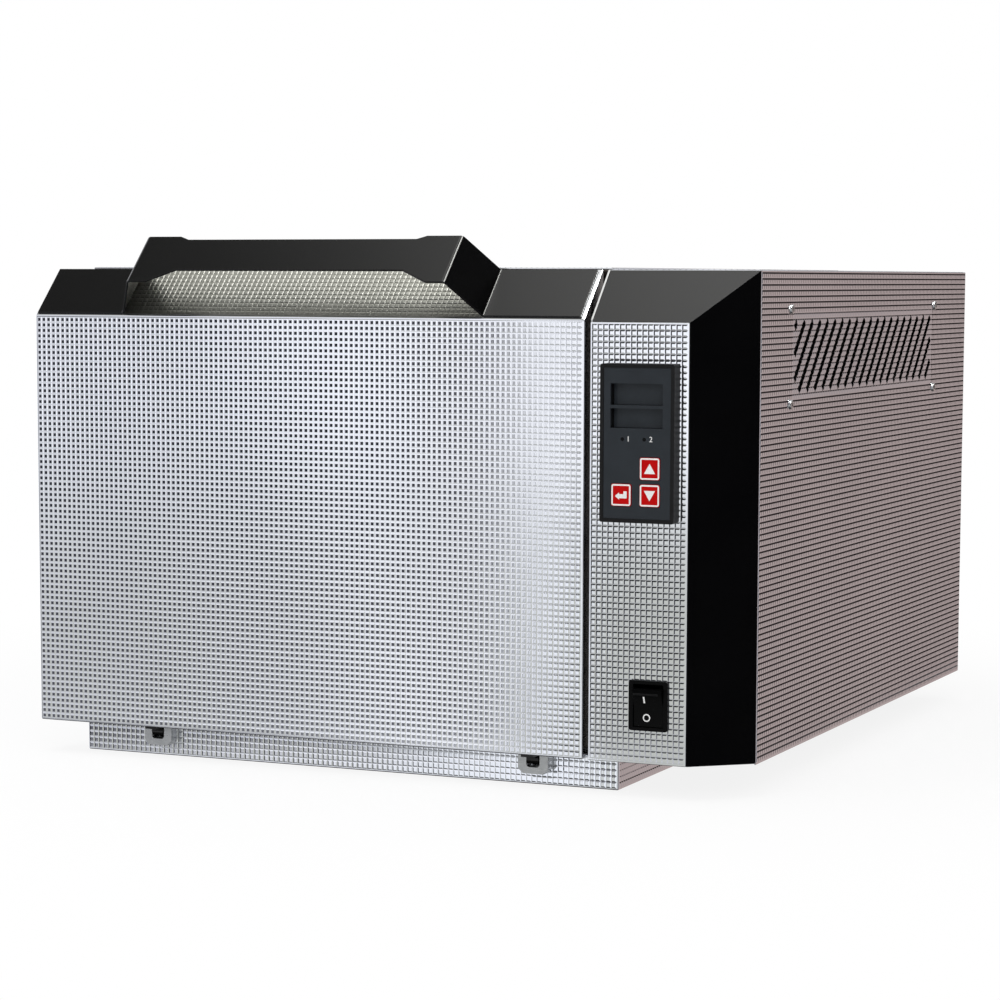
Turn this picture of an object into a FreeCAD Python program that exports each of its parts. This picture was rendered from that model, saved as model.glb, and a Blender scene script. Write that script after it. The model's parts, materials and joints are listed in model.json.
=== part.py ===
import FreeCAD, Part
import math
import os

# Bench-top chamber furnace with a drop-down front door, in millimetres.
# X runs to the right seen from the front, Y to the back, Z up.
# The origin is the centre of the plinth's footprint, on the table.

V = FreeCAD.Vector

# Clearances
fit = 0.3              # gap round a piece that passes through a hole or sits in a pocket
run = 0.05             # radial gap of a turning or sliding fit
swing = 0.4            # gap round pieces that pass close by as the door turns

# Hot chamber and insulation
chamber_w = 180.0
chamber_h = 120.0
chamber_d = 280.0
hot_t = 40.0           # hot-face fibre board
back_t = 44.0          # backing board
air_left = 3.3
air_right = 19.2
air_top = 11.1
service_d = 105.3      # wiring space behind the insulation

# Sheet metal
sheet = 1.2            # casing sheet
pan_t = 1.5            # base pan
frame_t = 1.5          # front frame round the chamber's mouth
fold = 12.0            # width of folded returns

# Plinth
plinth_h = 21.5
plinth_d = 450.0
plinth_t = 1.5
plinth_flange = 22.0   # top flange that carries the base pan
plinth_over = 12.5     # plinth's right wall beyond the partition
plinth_recess = 20.0   # plinth's front wall behind the door's front

# Door
door_over = 24.5       # door's left end beyond the casing
door_gap = 3.5         # between the door and the control fascia
bevel_d = 29.5         # depth of the sloped bevel, which is the door skin's depth
bevel_h = 30.2         # rise of the sloped bevel
door_pan_t = 1.2
door_pan_inset = 1.0
seal_t = 3.1
seal_w = 14.0
seal_in = 12.0         # from the chamber's mouth to the seal's inner edge
seal_gap = 0.2         # seal to front frame, door closed
plug_in = 12.0         # plug's reach into the chamber
plug_clear = 3.0       # plug to the chamber's walls

# Strap handle
strap_t = 1.5
strap_inset = 1.6      # strap's left end from the door's left end
strap_inset_r = 2.8    # and on the right
strap_lip = 1.0        # strap's edges from the bevel's folds
foot_in = 66.7         # left leg's foot from the door's left end
foot_in_r = 67.9       # and on the right
leg_run = 16.4
grip_raise = 29.8
strap_bend = 2.0       # inner radius of the bends
low_start = 13.5       # lower notch of the grip
low_run = 18.5
low_depth = 10.0
high_start = 24.5      # upper notch of the grip
high_run = 6.6
high_depth = 2.8
stud_r = 2.5
stud_len = 13.0
stud_in = 15.0
nut_r = 4.6
nut_t = 4.0

# Hinges
hinge_left = -133.0    # hinge centres along X
hinge_right = 137.8
leaf_w = 20.4
leaf_t = 8.3
leaf_drop = 13.6       # leaf's lower edge below the door
leaf_chamfer = 3.2
knuckle_r = 3.6
knuckle_w = 8.2
knuckle_gap = 0.4
pin_deep = 2.5         # pin's axis behind the leaf's front
leaf_top = 1.3         # leaf's upper edge below the door
notch_extra = 1.8      # notch's bottom below the knuckle
door_leaf_t = 1.6
door_leaf_d = 12.0
pin_r = 1.5

# Control fascia and its bevel trim
bezel_left = 9.8       # controller bezel from the fascia's left edge
bezel_right = 6.4
bezel_top = 24.9       # controller bezel below the fascia's top edge
fascia_drop = 1.2      # fascia's top edge below the door's fold
trim_w = 34.7
trim_t = 2.0
lip_w = 5.0
lip_t = 1.5
cover_drop = 0.8       # right cover's lower edge below the base pan

# Panel controller
bezel_w = 48.0
bezel_h = 96.0
bezel_d = 8.0
bezel_rim = 2.3
bezel_r = 1.5
case_w = 44.6
case_tall = 91.6
case_deep = 92.0
face_deep = 1.8        # recess that holds the front face
face_t = 1.5
face_gap = 0.15
key_w = 12.9
key_tall = 13.5
key_r = 1.2
key_proud = 0.4
key_back = 1.2         # key's foot behind the face
key_travel = 0.7
key_room = 0.3         # room behind a fully pressed key
key_col_a = 14.1       # key columns from the bezel's left edge
key_col_b = 32.5
key_row_a = 63.0       # key rows from the bezel's top edge
key_row_b = 79.2
screen_w = 33.4
screen_tall_a = 12.7
screen_tall_b = 11.6
screen_left = 6.9
screen_top_a = 12.0
screen_top_b = 27.0
screen_t = 0.7
screen_deep = 5.0      # screens behind the face
clip_w = 30.0
clip_d = 10.0
clip_tall = 8.0

# Rocker switch
switch_w = 25.5
switch_h = 31.0
switch_t = 1.8
switch_r = 2.0
switch_body_w = 21.8
switch_body_h = 28.6
switch_body_d = 22.0
switch_right = 11.4    # switch bezel from the fascia's right edge
switch_up = 20.7       # switch bezel above the fascia's lower edge
well_w = 19.5
well_h = 26.4
well_d = 16.0
rocker_half = 11.8
rocker_rise = 2.2
rocker_thick = 3.0
rocker_axis = 5.0      # pivot behind the middle of the rocker's front
rocker_sink = 0.8      # middle of the rocker behind the bezel's front
rocker_tilt = 10.0     # degrees each side of the middle
hub_r = 3.0
stub_r = 1.5
stub_len = 0.9

# Vent field of the right cover
vent_front = 67.3      # field behind the cover's front edge
vent_down = 30.0       # field below the cover's top edge
vent_len = 312.0
vent_h = 47.2
vent_pitch = 16.2
slot_w = 5.0
slot_min = 4.3
vent_lean = 45.0
filter_t = 3.0
guard_t = 1.2
guard_margin = 2.0
guard_w = 16.0
vent_screw_out = 9.0   # screws outside the field, front and back
vent_screw_up = 6.0    # screws outside the field, above and below
screw_r = 1.5
screw_head_r = 3.0
screw_head_t = 1.6
screw_len = 8.0

# Heating
hearth_t = 8.0
hearth_side = 16.0
hearth_front = 24.0
hearth_back = 14.0
element_r = 3.0
element_stand = 9.0    # element's axis from the side wall
element_pitch = 22.0
element_front = 34.0   # front bends behind the chamber's mouth
element_back = 16.0    # rear bends before the rear wall
element_tail = 32.0    # tails behind the insulation
sleeve_t = 2.0
clamp_w = 14.0
clamp_d = 16.0
clamp_off = 12.0
probe_r = 3.0
probe_in = 40.0
probe_side = 32.0
probe_head_r = 13.0
probe_head_d = 24.0
flue_r = 10.0
flue_wall = 3.0
flue_down = 26.0
flue_out = 8.0

# Electrics in the control compartment
sink_side = 36.0       # heat sink's plate from the partition
sink_plate = 5.0
sink_fin = 22.0
sink_fin_t = 2.5
sink_fins = 7
sink_d = 90.0
sink_h = 80.0
sink_y = 190.0         # from the door's front plane
relay_w = 22.5
relay_d = 45.0
relay_h = 58.0
relay_up = 10.0
block_side = 28.0
block_w = 22.0
block_d = 72.0
block_h = 26.0
block_y = 340.0
inlet_up = 62.0
inlet_w = 28.0
inlet_h = 20.0
inlet_wall = 2.0
inlet_deep = 20.0
inlet_floor = 3.0
inlet_flange = 10.0
inlet_flange_t = 3.0
blade_w = 2.0
blade_h = 5.0
blade_len = 11.0
blade_step = 7.0
fuse_up = 112.0
fuse_r = 6.0
fuse_cap_r = 8.0
fuse_cap_t = 9.0
fuse_deep = 32.0
rear_screw_edge = 6.0
rear_screw_end = 30.0

# Door safety switch
guard_switch_up = 214.0
guard_switch_side = 11.0   # plunger's axis from the partition
guard_switch_w = 10.0
guard_switch_d = 18.0
guard_switch_h = 28.0
plunger_r = 2.5
plunger_deep = 10.0
plunger_gap = 0.3          # plunger to the closed door
plunger_bore = 4.0         # free depth behind the plunger


# Positions that follow from the sizes
inner_w = chamber_w + 2 * (hot_t + back_t) + air_left + air_right
case_h = pan_t + 2 * (hot_t + back_t) + chamber_h + air_top
frame_y = bevel_d + door_pan_t + seal_t + seal_gap
case_d = frame_y + chamber_d + hot_t + back_t + service_d + sheet
plinth_w = sheet + inner_w + plinth_over
fascia_w = bezel_left + bezel_w + bezel_right

x_left = -plinth_w / 2
x_part = x_left + sheet + inner_w
x_cab = x_part + sheet
x_door0 = x_left - door_over
x_door1 = x_part - door_gap
x_fas1 = x_part + fascia_w
x_right = x_fas1 + trim_w
x_mid = x_left + sheet + air_left + back_t + hot_t + chamber_w / 2

y_door = -plinth_d / 2 - plinth_recess
y_bevel = y_door + bevel_d
y_frame = y_door + frame_y
y_rear = y_door + case_d
y_hot = y_frame + chamber_d
y_ins = y_hot + hot_t + back_t

z_base = plinth_h
z_top = z_base + case_h
z_fold = z_top - bevel_h
z_fas = z_fold - fascia_drop
z_hearth = z_base + pan_t + back_t + hot_t
z_roof = z_hearth + chamber_h


# Shape helpers
def box(x0, x1, y0, y1, z0, z1):
    return Part.makeBox(x1 - x0, y1 - y0, z1 - z0, V(x0, y0, z0))


def rod(start, direction, radius, length):
    return Part.makeCylinder(radius, length, start, direction)


def unit(v):
    w = V(v)
    w.normalize()
    return w


def outline(points, radii):
    # closed planar outline with a rounded corner wherever the radius is not zero
    count = len(points)
    starts = []
    ends = []
    arcs = []
    for i in range(count):
        p = points[i]
        r = radii[i]
        if r == 0:
            starts.append(p)
            ends.append(p)
            arcs.append(None)
            continue
        a = unit(points[i - 1] - p)
        b = unit(points[(i + 1) % count] - p)
        half = a.getAngle(b) / 2
        reach = r / math.tan(half)
        centre = p + unit(a + b) * (r / math.sin(half))
        starts.append(p + a * reach)
        ends.append(p + b * reach)
        middle = centre + unit(p - centre) * r
        arcs.append(Part.Arc(starts[i], middle, ends[i]).toShape())
    edges = []
    for i in range(count):
        if arcs[i] is not None:
            edges.append(arcs[i])
        edges.append(Part.LineSegment(ends[i], starts[(i + 1) % count]).toShape())
    return Part.Wire(edges)


def slab(points, radii, direction):
    return Part.Face(outline(points, radii)).extrude(direction)


def prism_yz(points, x0, x1):
    corners = [V(x0, y, z) for y, z in points]
    return slab(corners, [0] * len(corners), V(x1 - x0, 0, 0))


def prism_xy(points, z0, z1):
    corners = [V(x, y, z0) for x, y in points]
    return slab(corners, [0] * len(corners), V(0, 0, z1 - z0))


def plate(x0, x1, z0, z1, y0, y1, r):
    # upright plate facing the front, with four rounded corners
    corners = [V(x0, y0, z0), V(x1, y0, z0), V(x1, y0, z1), V(x0, y0, z1)]
    return slab(corners, [r] * 4, V(0, y1 - y0, 0))


def joined(shapes):
    whole = shapes[0].fuse(shapes[1:])
    return whole.removeSplitter()


def export(name, shape):
    shape.exportStep("parts/" + name + ".step")
    print(name, len(shape.Solids), round(shape.Volume, 1), shape.isValid())


os.makedirs("parts", exist_ok=True)
AX = V(1, 0, 0)
AY = V(0, 1, 0)
AZ = V(0, 0, 1)

# Plinth: a closed tray with a top flange that carries the base pan
plinth = box(x_left, -x_left, -plinth_d / 2, plinth_d / 2, 0, plinth_h)
hollow = box(x_left + plinth_t, -x_left - plinth_t, -plinth_d / 2 + plinth_t, plinth_d / 2 - plinth_t,
             plinth_t, plinth_h - plinth_t)
mouth = box(x_left + plinth_flange, -x_left - plinth_flange, -plinth_d / 2 + plinth_flange,
            plinth_d / 2 - plinth_flange, plinth_h - plinth_t, plinth_h)
export("plinth", plinth.cut(hollow).cut(mouth))


# Base pan under the hot section and the control compartment
trim_slope_x = trim_w / bevel_d
trim_slope_z = (z_top - z_fas) / bevel_d
trim_off_x = trim_t * math.hypot(1, trim_slope_x)
trim_off_z = trim_t * math.hypot(1, trim_slope_z)


def trim_inner_x(y):
    return x_fas1 + (y - y_door) * trim_slope_x - trim_off_x


pan_outline = [(x_left + sheet, y_frame), (x_part, y_frame), (x_part, y_door + sheet),
               (x_fas1 - lip_w, y_door + sheet), (x_fas1 - lip_w, y_door + sheet + lip_t),
               (trim_inner_x(y_door + sheet + lip_t), y_door + sheet + lip_t),
               (trim_inner_x(y_bevel), y_bevel), (x_right - sheet, y_bevel),
               (x_right - sheet, y_rear - sheet), (x_left + sheet, y_rear - sheet)]
export("base_pan", prism_xy(pan_outline, z_base, z_base + pan_t))

# Left panel with a rear return
rear_flange_y0 = y_rear - 2 * sheet
screw_rows = [z_base + rear_screw_end, (z_base + z_top) / 2, z_top - rear_screw_end]
left_screw_x = x_left + sheet + rear_screw_edge
right_screw_x = x_right - sheet - rear_screw_edge
screw_holes = []
for z in screw_rows:
    for x in (left_screw_x, right_screw_x):
        screw_holes.append(rod(V(x, y_rear + 1, z), V(0, -1, 0), screw_r + fit / 2, 4 * sheet + 1))
left_side = box(x_left, x_left + sheet, y_frame, y_rear, z_base, z_top)
left_return = box(x_left + sheet, x_left + fold, rear_flange_y0, y_rear - sheet, z_base + pan_t, z_top)
export("left_panel", joined([left_side, left_return]).cut(screw_holes))

# Partition between the hot section and the control compartment
partition_outline = [(y_door + sheet, z_base + pan_t), (y_door + sheet, z_fas + sheet * trim_slope_z),
                     (y_bevel, z_top), (y_rear - sheet, z_top), (y_rear - sheet, z_base + pan_t)]
export("partition", prism_yz(partition_outline, x_part, x_cab))

# Front frame round the chamber's mouth
hot_x0 = x_mid - chamber_w / 2 - hot_t
hot_x1 = x_mid + chamber_w / 2 + hot_t
hot_z0 = z_hearth - hot_t
hot_z1 = z_roof + hot_t
frame_plate = box(x_left + sheet, x_part, y_frame, y_frame + frame_t, z_base + pan_t, z_top)
frame_open = box(hot_x0 - fit, hot_x1 + fit, y_frame - 1, y_frame + frame_t + 1, hot_z0 - fit, hot_z1 + fit)
frame_right = box(x_part - frame_t, x_part, y_frame + frame_t, y_frame + fold, z_base + pan_t, z_top)
frame_left = box(x_left + sheet, x_left + sheet + frame_t, y_frame + frame_t, y_frame + fold,
                 z_base + pan_t, z_top)
frame_roof = box(x_left + sheet, x_part, y_frame + frame_t, y_frame + fold, z_top - frame_t, z_top)
plunger_x = x_part - guard_switch_side
plunger_z = z_base + guard_switch_up
plunger_hole = rod(V(plunger_x, y_frame - 1, plunger_z), AY, plunger_r + fit, frame_t + 2)
frame_whole = joined([frame_plate, frame_right, frame_left, frame_roof])
export("front_frame", frame_whole.cut(frame_open).cut(plunger_hole))

# Top cover over the hot section
export("top_cover", box(x_left, x_cab, y_frame, y_rear, z_top, z_top + sheet))

# Rear panel, with the holes for the flue, the inlet and the fuse holder
cab_mid = (x_cab + x_right) / 2
inlet_z = z_base + inlet_up
fuse_z = z_base + fuse_up
flue_z = z_roof - flue_down
rear_wide = box(x_left + sheet, x_right - sheet, y_rear - sheet, y_rear, z_base, z_top - sheet)
rear_hot = box(x_left + sheet, x_cab, y_rear - sheet, y_rear, z_top - sheet, z_top)
rear_panel = joined([rear_wide, rear_hot]).cut(screw_holes)
flue_hole = rod(V(x_mid, y_rear - sheet - 1, flue_z), AY, flue_r + fit, sheet + 2)
inlet_hole = box(cab_mid - inlet_w / 2 - fit, cab_mid + inlet_w / 2 + fit, y_rear - sheet - 1, y_rear + 1,
                 inlet_z - inlet_h / 2 - fit, inlet_z + inlet_h / 2 + fit)
fuse_hole = rod(V(cab_mid, y_rear - sheet - 1, fuse_z), AY, fuse_r + fit, sheet + 2)
export("rear_panel", rear_panel.cut([flue_hole, inlet_hole, fuse_hole]))

# Right cover: side and top of the control compartment, with the slanted vent slots
vent_y0 = y_bevel + vent_front
vent_y1 = vent_y0 + vent_len
vent_z1 = z_top - vent_down
vent_z0 = vent_z1 - vent_h
lean = math.radians(vent_lean)
along = V(0, math.sin(lean), math.cos(lean))
across = V(0, math.cos(lean), -math.sin(lean))
cap_y = slot_w / 2 * math.cos(lean)
cap_z = slot_w / 2 * math.sin(lean)
slots = []
line_y = vent_y0 + cap_y
while line_y < vent_y1 + vent_h * math.tan(lean):
    # each slot runs down from the top edge of the field and is cut short at its ends
    high_z = vent_z1 - cap_z - max(0, (line_y - (vent_y1 - cap_y)) / math.tan(lean))
    low_z = max(vent_z0 + cap_z, vent_z1 - cap_z - (line_y - (vent_y0 + cap_y)) / math.tan(lean) - slot_min)
    if (high_z - low_z) / math.cos(lean) > slot_min / 2:
        foot = V(x_right - sheet - 1, line_y + (low_z - (vent_z1 - cap_z)) * math.tan(lean), low_z)
        length = (high_z - low_z) / math.cos(lean)
        corners = [foot - across * (slot_w / 2), foot + across * (slot_w / 2),
                   foot + across * (slot_w / 2) + along * length, foot - across * (slot_w / 2) + along * length]
        slots.append(slab(corners, [0] * 4, V(sheet + 2, 0, 0)))
    line_y = line_y + vent_pitch
vent_spots = []
for y in (vent_y0 - vent_screw_out, vent_y1 + vent_screw_out):
    for z in (vent_z0 - vent_screw_up, vent_z1 + vent_screw_up):
        vent_spots.append(V(x_right, y, z))
vent_holes = [rod(p + AX, V(-1, 0, 0), screw_r + fit / 2, sheet + filter_t + guard_t + 2) for p in vent_spots]
cover_side = box(x_right - sheet, x_right, y_bevel, y_rear, z_base - cover_drop, z_top)
cover_top = box(x_cab, x_right, y_bevel, y_rear, z_top - sheet, z_top)
cover_front = box(x_right - fold, x_right - sheet, y_bevel, y_bevel + sheet, z_base + pan_t, z_top - sheet)
cover_back = box(x_right - fold, x_right - sheet, rear_flange_y0, y_rear - sheet, z_base + pan_t, z_top - sheet)
cover = joined([cover_side, cover_top, cover_front, cover_back])
export("right_cover", cover.cut(slots).cut(vent_holes).cut(screw_holes))
print("vent slots", len(slots))

# Vent filter, its guard frame and the four screws
guard_y0 = vent_y0 - guard_margin - guard_w
guard_y1 = vent_y1 + guard_margin + guard_w
guard_z0 = vent_z0 - guard_margin - guard_w
guard_z1 = vent_z1 + guard_margin + guard_w
filter_x0 = x_right - sheet - filter_t
vent_filter = box(filter_x0, x_right - sheet, guard_y0, guard_y1, guard_z0, guard_z1)
export("vent_filter", vent_filter.cut(vent_holes))
guard = box(filter_x0 - guard_t, filter_x0, guard_y0, guard_y1, guard_z0, guard_z1)
guard_open = box(filter_x0 - guard_t - 1, filter_x0 + 1, vent_y0 - guard_margin, vent_y1 + guard_margin,
                 vent_z0 - guard_margin, vent_z1 + guard_margin)
export("vent_guard", guard.cut(guard_open).cut(vent_holes))
vent_screws = []
for p in vent_spots:
    head = rod(p, AX, screw_head_r, screw_head_t)
    head = head.makeFillet(screw_head_t * 0.6, [head.Edges[0]])
    vent_screws.append(head.fuse(rod(p, V(-1, 0, 0), screw_r, screw_len)).removeSplitter())
export("vent_screws", Part.makeCompound(vent_screws))
case_screws = []
for z in screw_rows:
    for x in (left_screw_x, right_screw_x):
        p = V(x, y_rear, z)
        head = rod(p, AY, screw_head_r, screw_head_t)
        case_screws.append(head.fuse(rod(p, V(0, -1, 0), screw_r, screw_len)).removeSplitter())
export("case_screws", Part.makeCompound(case_screws))

# Control fascia and the black bevel trim round it
bez_x0 = x_part + bezel_left
bez_x1 = bez_x0 + bezel_w
bez_z1 = z_fas - bezel_top
bez_z0 = bez_z1 - bezel_h
bez_cx = (bez_x0 + bez_x1) / 2
bez_cz = (bez_z0 + bez_z1) / 2
sw_x1 = x_fas1 - switch_right
sw_x0 = sw_x1 - switch_w
sw_z0 = z_base + switch_up
sw_z1 = sw_z0 + switch_h
sw_cx = (sw_x0 + sw_x1) / 2
sw_cz = (sw_z0 + sw_z1) / 2
fascia_solid = box(x_part, x_fas1, y_door, y_door + sheet, z_base, z_fas)
case_hole = box(bez_cx - case_w / 2 - fit, bez_cx + case_w / 2 + fit, y_door - 1, y_door + sheet + 1,
                bez_cz - case_tall / 2 - fit, bez_cz + case_tall / 2 + fit)
switch_hole = box(sw_cx - switch_body_w / 2 - fit, sw_cx + switch_body_w / 2 + fit, y_door - 1,
                  y_door + sheet + 1, sw_cz - switch_body_h / 2 - fit, sw_cz + switch_body_h / 2 + fit)
export("fascia", fascia_solid.cut([case_hole, switch_hole]))

outer_yz = prism_yz([(y_door, z_base), (y_door, z_fas), (y_bevel, z_top), (y_bevel, z_base)], x_cab, x_right)
outer_xy = prism_xy([(x_cab, y_door), (x_fas1, y_door), (x_right, y_bevel), (x_cab, y_bevel)], z_base, z_top)
trim_outer = outer_yz.common(outer_xy)
inner_yz = prism_yz([(y_door - 1, z_base - 1), (y_door - 1, z_fas - trim_slope_z - trim_off_z),
                     (y_bevel + 1, z_top + trim_slope_z - trim_off_z), (y_bevel + 1, z_base - 1)],
                    x_cab - 1, x_right)
inner_xy = prism_xy([(x_cab - 1, y_door - 1), (trim_inner_x(y_door - 1), y_door - 1),
                     (trim_inner_x(y_bevel + 1), y_bevel + 1), (x_cab - 1, y_bevel + 1)],
                    z_base - 1, z_top)
trim_inner = inner_yz.common(inner_xy)
lip_band = box(x_cab, x_right, y_door + sheet, y_door + sheet + lip_t, z_base, z_top)
lip_window = box(x_cab - 1, x_fas1 - lip_w, y_door, y_door + sheet + lip_t + 1, z_base - 1, z_fas - lip_w)
trim_shell = trim_outer.cut(trim_inner)
trim_lip = trim_outer.common(lip_band).cut(lip_window)
export("bevel_trim", joined([trim_shell, trim_lip]).cut(fascia_solid))

# Hot-face boards and backing boards
back_x0 = hot_x0 - back_t
back_x1 = hot_x1 + back_t
back_z0 = z_base + pan_t
back_z1 = hot_z1 + back_t
y_back0 = y_frame + frame_t
y_hot1 = y_hot + hot_t
export("hot_floor", box(hot_x0, hot_x1, y_frame, y_hot1, hot_z0, z_hearth))
export("hot_roof", box(hot_x0, hot_x1, y_frame, y_hot1, z_roof, hot_z1))
export("hot_left", box(hot_x0, hot_x0 + hot_t, y_frame, y_hot1, z_hearth, z_roof))
export("hot_right", box(hot_x1 - hot_t, hot_x1, y_frame, y_hot1, z_hearth, z_roof))
export("back_floor", box(back_x0, back_x1, y_back0, y_ins, back_z0, hot_z0))
export("back_roof", box(back_x0, back_x1, y_back0, y_ins, hot_z1, back_z1))
export("back_left", box(back_x0, hot_x0, y_back0, y_ins, hot_z0, hot_z1))
export("back_right", box(hot_x1, back_x1, y_back0, y_ins, hot_z0, hot_z1))

# Rear boards, drilled for the element leads, the thermocouple and the flue
mid_z = (z_hearth + z_roof) / 2
lead_z = [mid_z - 1.5 * element_pitch, mid_z + 1.5 * element_pitch]
lead_x = [x_mid - chamber_w / 2 + element_stand, x_mid + chamber_w / 2 - element_stand]
sleeve_r = element_r + fit + sleeve_t
drill = []
sleeves = []
for x in lead_x:
    for z in lead_z:
        drill.append(rod(V(x, y_hot - 1, z), AY, sleeve_r + run, hot_t + back_t + 2))
        tube = rod(V(x, y_hot, z), AY, sleeve_r, hot_t + back_t)
        sleeves.append(tube.cut(rod(V(x, y_hot - 1, z), AY, element_r + fit, hot_t + back_t + 2)))
probe_x = x_mid + probe_side
drill.append(rod(V(probe_x, y_hot - 1, mid_z), AY, probe_r + run, hot_t + back_t + 2))
drill.append(rod(V(x_mid, y_hot - 1, flue_z), AY, flue_r + run, hot_t + back_t + 2))
export("hot_rear", box(hot_x0 + hot_t, hot_x1 - hot_t, y_hot, y_hot1, z_hearth, z_roof).cut(drill))
export("back_rear", box(hot_x0, hot_x1, y_hot1, y_ins, hot_z0, hot_z1).cut(drill))
export("lead_sleeves", Part.makeCompound(sleeves))

# Hearth plate on the chamber's floor
export("hearth_plate", box(x_mid - chamber_w / 2 + hearth_side, x_mid + chamber_w / 2 - hearth_side,
                           y_frame + hearth_front, y_hot - hearth_back, z_hearth, z_hearth + hearth_t))


# Heating elements: bent rods along the side walls, with both tails through the rear wall
def element(x):
    front = y_frame + element_front
    back = y_hot - element_back
    tail = y_ins + element_tail
    r = element_pitch / 2
    z = [mid_z + (i - 1.5) * element_pitch for i in range(4)]
    path = [Part.LineSegment(V(x, tail, z[0]), V(x, front, z[0])),
            Part.Arc(V(x, front, z[0]), V(x, front - r, z[0] + r), V(x, front, z[1])),
            Part.LineSegment(V(x, front, z[1]), V(x, back - r, z[1])),
            Part.Arc(V(x, back - r, z[1]), V(x, back, z[1] + r), V(x, back - r, z[2])),
            Part.LineSegment(V(x, back - r, z[2]), V(x, front, z[2])),
            Part.Arc(V(x, front, z[2]), V(x, front - r, z[2] + r), V(x, front, z[3])),
            Part.LineSegment(V(x, front, z[3]), V(x, tail, z[3]))]
    spine = Part.Wire([piece.toShape() for piece in path])
    ring = Part.Wire([Part.makeCircle(element_r, V(x, tail, z[0]), V(0, -1, 0))])
    return Part.Solid(spine.makePipeShell([ring], True, False))


export("element_left", element(lead_x[0]))
export("element_right", element(lead_x[1]))
clamps = []
for x in lead_x:
    for z in lead_z:
        y = y_ins + clamp_off
        block = box(x - clamp_w / 2, x + clamp_w / 2, y, y + clamp_d, z - clamp_w / 2, z + clamp_w / 2)
        clamps.append(block.cut(rod(V(x, y - 1, z), AY, element_r + run, clamp_d + 2)))
export("element_terminals", Part.makeCompound(clamps))

# Thermocouple and flue
probe = rod(V(probe_x, y_hot - probe_in, mid_z), AY, probe_r, probe_in + hot_t + back_t)
probe_head = rod(V(probe_x, y_ins, mid_z), AY, probe_head_r, probe_head_d)
export("thermocouple", joined([probe, probe_head]))
flue_len = y_rear + flue_out - y_hot
flue = rod(V(x_mid, y_hot, flue_z), AY, flue_r, flue_len)
export("flue_tube", flue.cut(rod(V(x_mid, y_hot - 1, flue_z), AY, flue_r - flue_wall, flue_len + 2)))

# Controller case with its bezel, front face, screens and keys
y_bez = y_door - bezel_d
y_floor = y_bez + face_deep
face_w = bezel_w - 2 * bezel_rim
face_tall = bezel_h - 2 * bezel_rim
bezel = plate(bez_x0, bez_x1, bez_z0, bez_z1, y_bez, y_door, bezel_r)
tank = box(bez_cx - case_w / 2, bez_cx + case_w / 2, y_door, y_door + case_deep,
           bez_cz - case_tall / 2, bez_cz + case_tall / 2)
recess = box(bez_cx - face_w / 2, bez_cx + face_w / 2, y_bez - 1, y_floor,
             bez_cz - face_tall / 2, bez_cz + face_tall / 2)
key_spots = {"key_up": (bez_x0 + key_col_b, bez_z1 - key_row_a),
             "key_return": (bez_x0 + key_col_a, bez_z1 - key_row_b),
             "key_down": (bez_x0 + key_col_b, bez_z1 - key_row_b)}
screens = {"screen_upper": (screen_top_a, screen_tall_a), "screen_lower": (screen_top_b, screen_tall_b)}


def key_block(spot, y0, y1, grow):
    x, z = spot
    return plate(x - key_w / 2 - grow, x + key_w / 2 + grow, z - key_tall / 2 - grow, z + key_tall / 2 + grow,
                 y0, y1, key_r + grow)


def screen_block(spot, y0, y1, grow):
    top, tall = spot
    x0 = bez_x0 + screen_left
    z1 = bez_z1 - top
    return box(x0 - grow, x0 + screen_w + grow, y0, y1, z1 - tall - grow, z1 + grow)


key_end = y_floor + key_back
key_wells = [key_block(s, y_floor - 1, key_end + key_travel + key_room, fit) for s in key_spots.values()]
screen_wells = [screen_block(s, y_floor - 1, y_floor + screen_deep, face_gap) for s in screens.values()]
controller = joined([bezel, tank]).cut(recess).cut(key_wells).cut(screen_wells)
export("controller_case", controller)
face = box(bez_cx - face_w / 2 + face_gap, bez_cx + face_w / 2 - face_gap, y_floor - face_t, y_floor,
           bez_cz - face_tall / 2 + face_gap, bez_cz + face_tall / 2 - face_gap)
face_cuts = [key_block(s, y_bez - 1, y_floor + 1, fit) for s in key_spots.values()]
face_cuts = face_cuts + [screen_block(s, y_bez - 1, y_floor + 1, face_gap) for s in screens.values()]
export("controller_face", face.cut(face_cuts))
for name, spot in screens.items():
    export(name, screen_block(spot, y_floor + screen_deep - screen_t, y_floor + screen_deep, 0))
for name, spot in key_spots.items():
    export(name, key_block(spot, y_floor - face_t - key_proud, key_end, 0))
clips = []
for edge, way in ((bez_cz + case_tall / 2, 1), (bez_cz - case_tall / 2, -1)):
    low = min(edge, edge + way * clip_tall)
    clips.append(box(bez_cx - clip_w / 2, bez_cx + clip_w / 2, y_door + sheet, y_door + sheet + clip_d,
                     low, low + clip_tall))
export("controller_clips", Part.makeCompound(clips))

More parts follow.
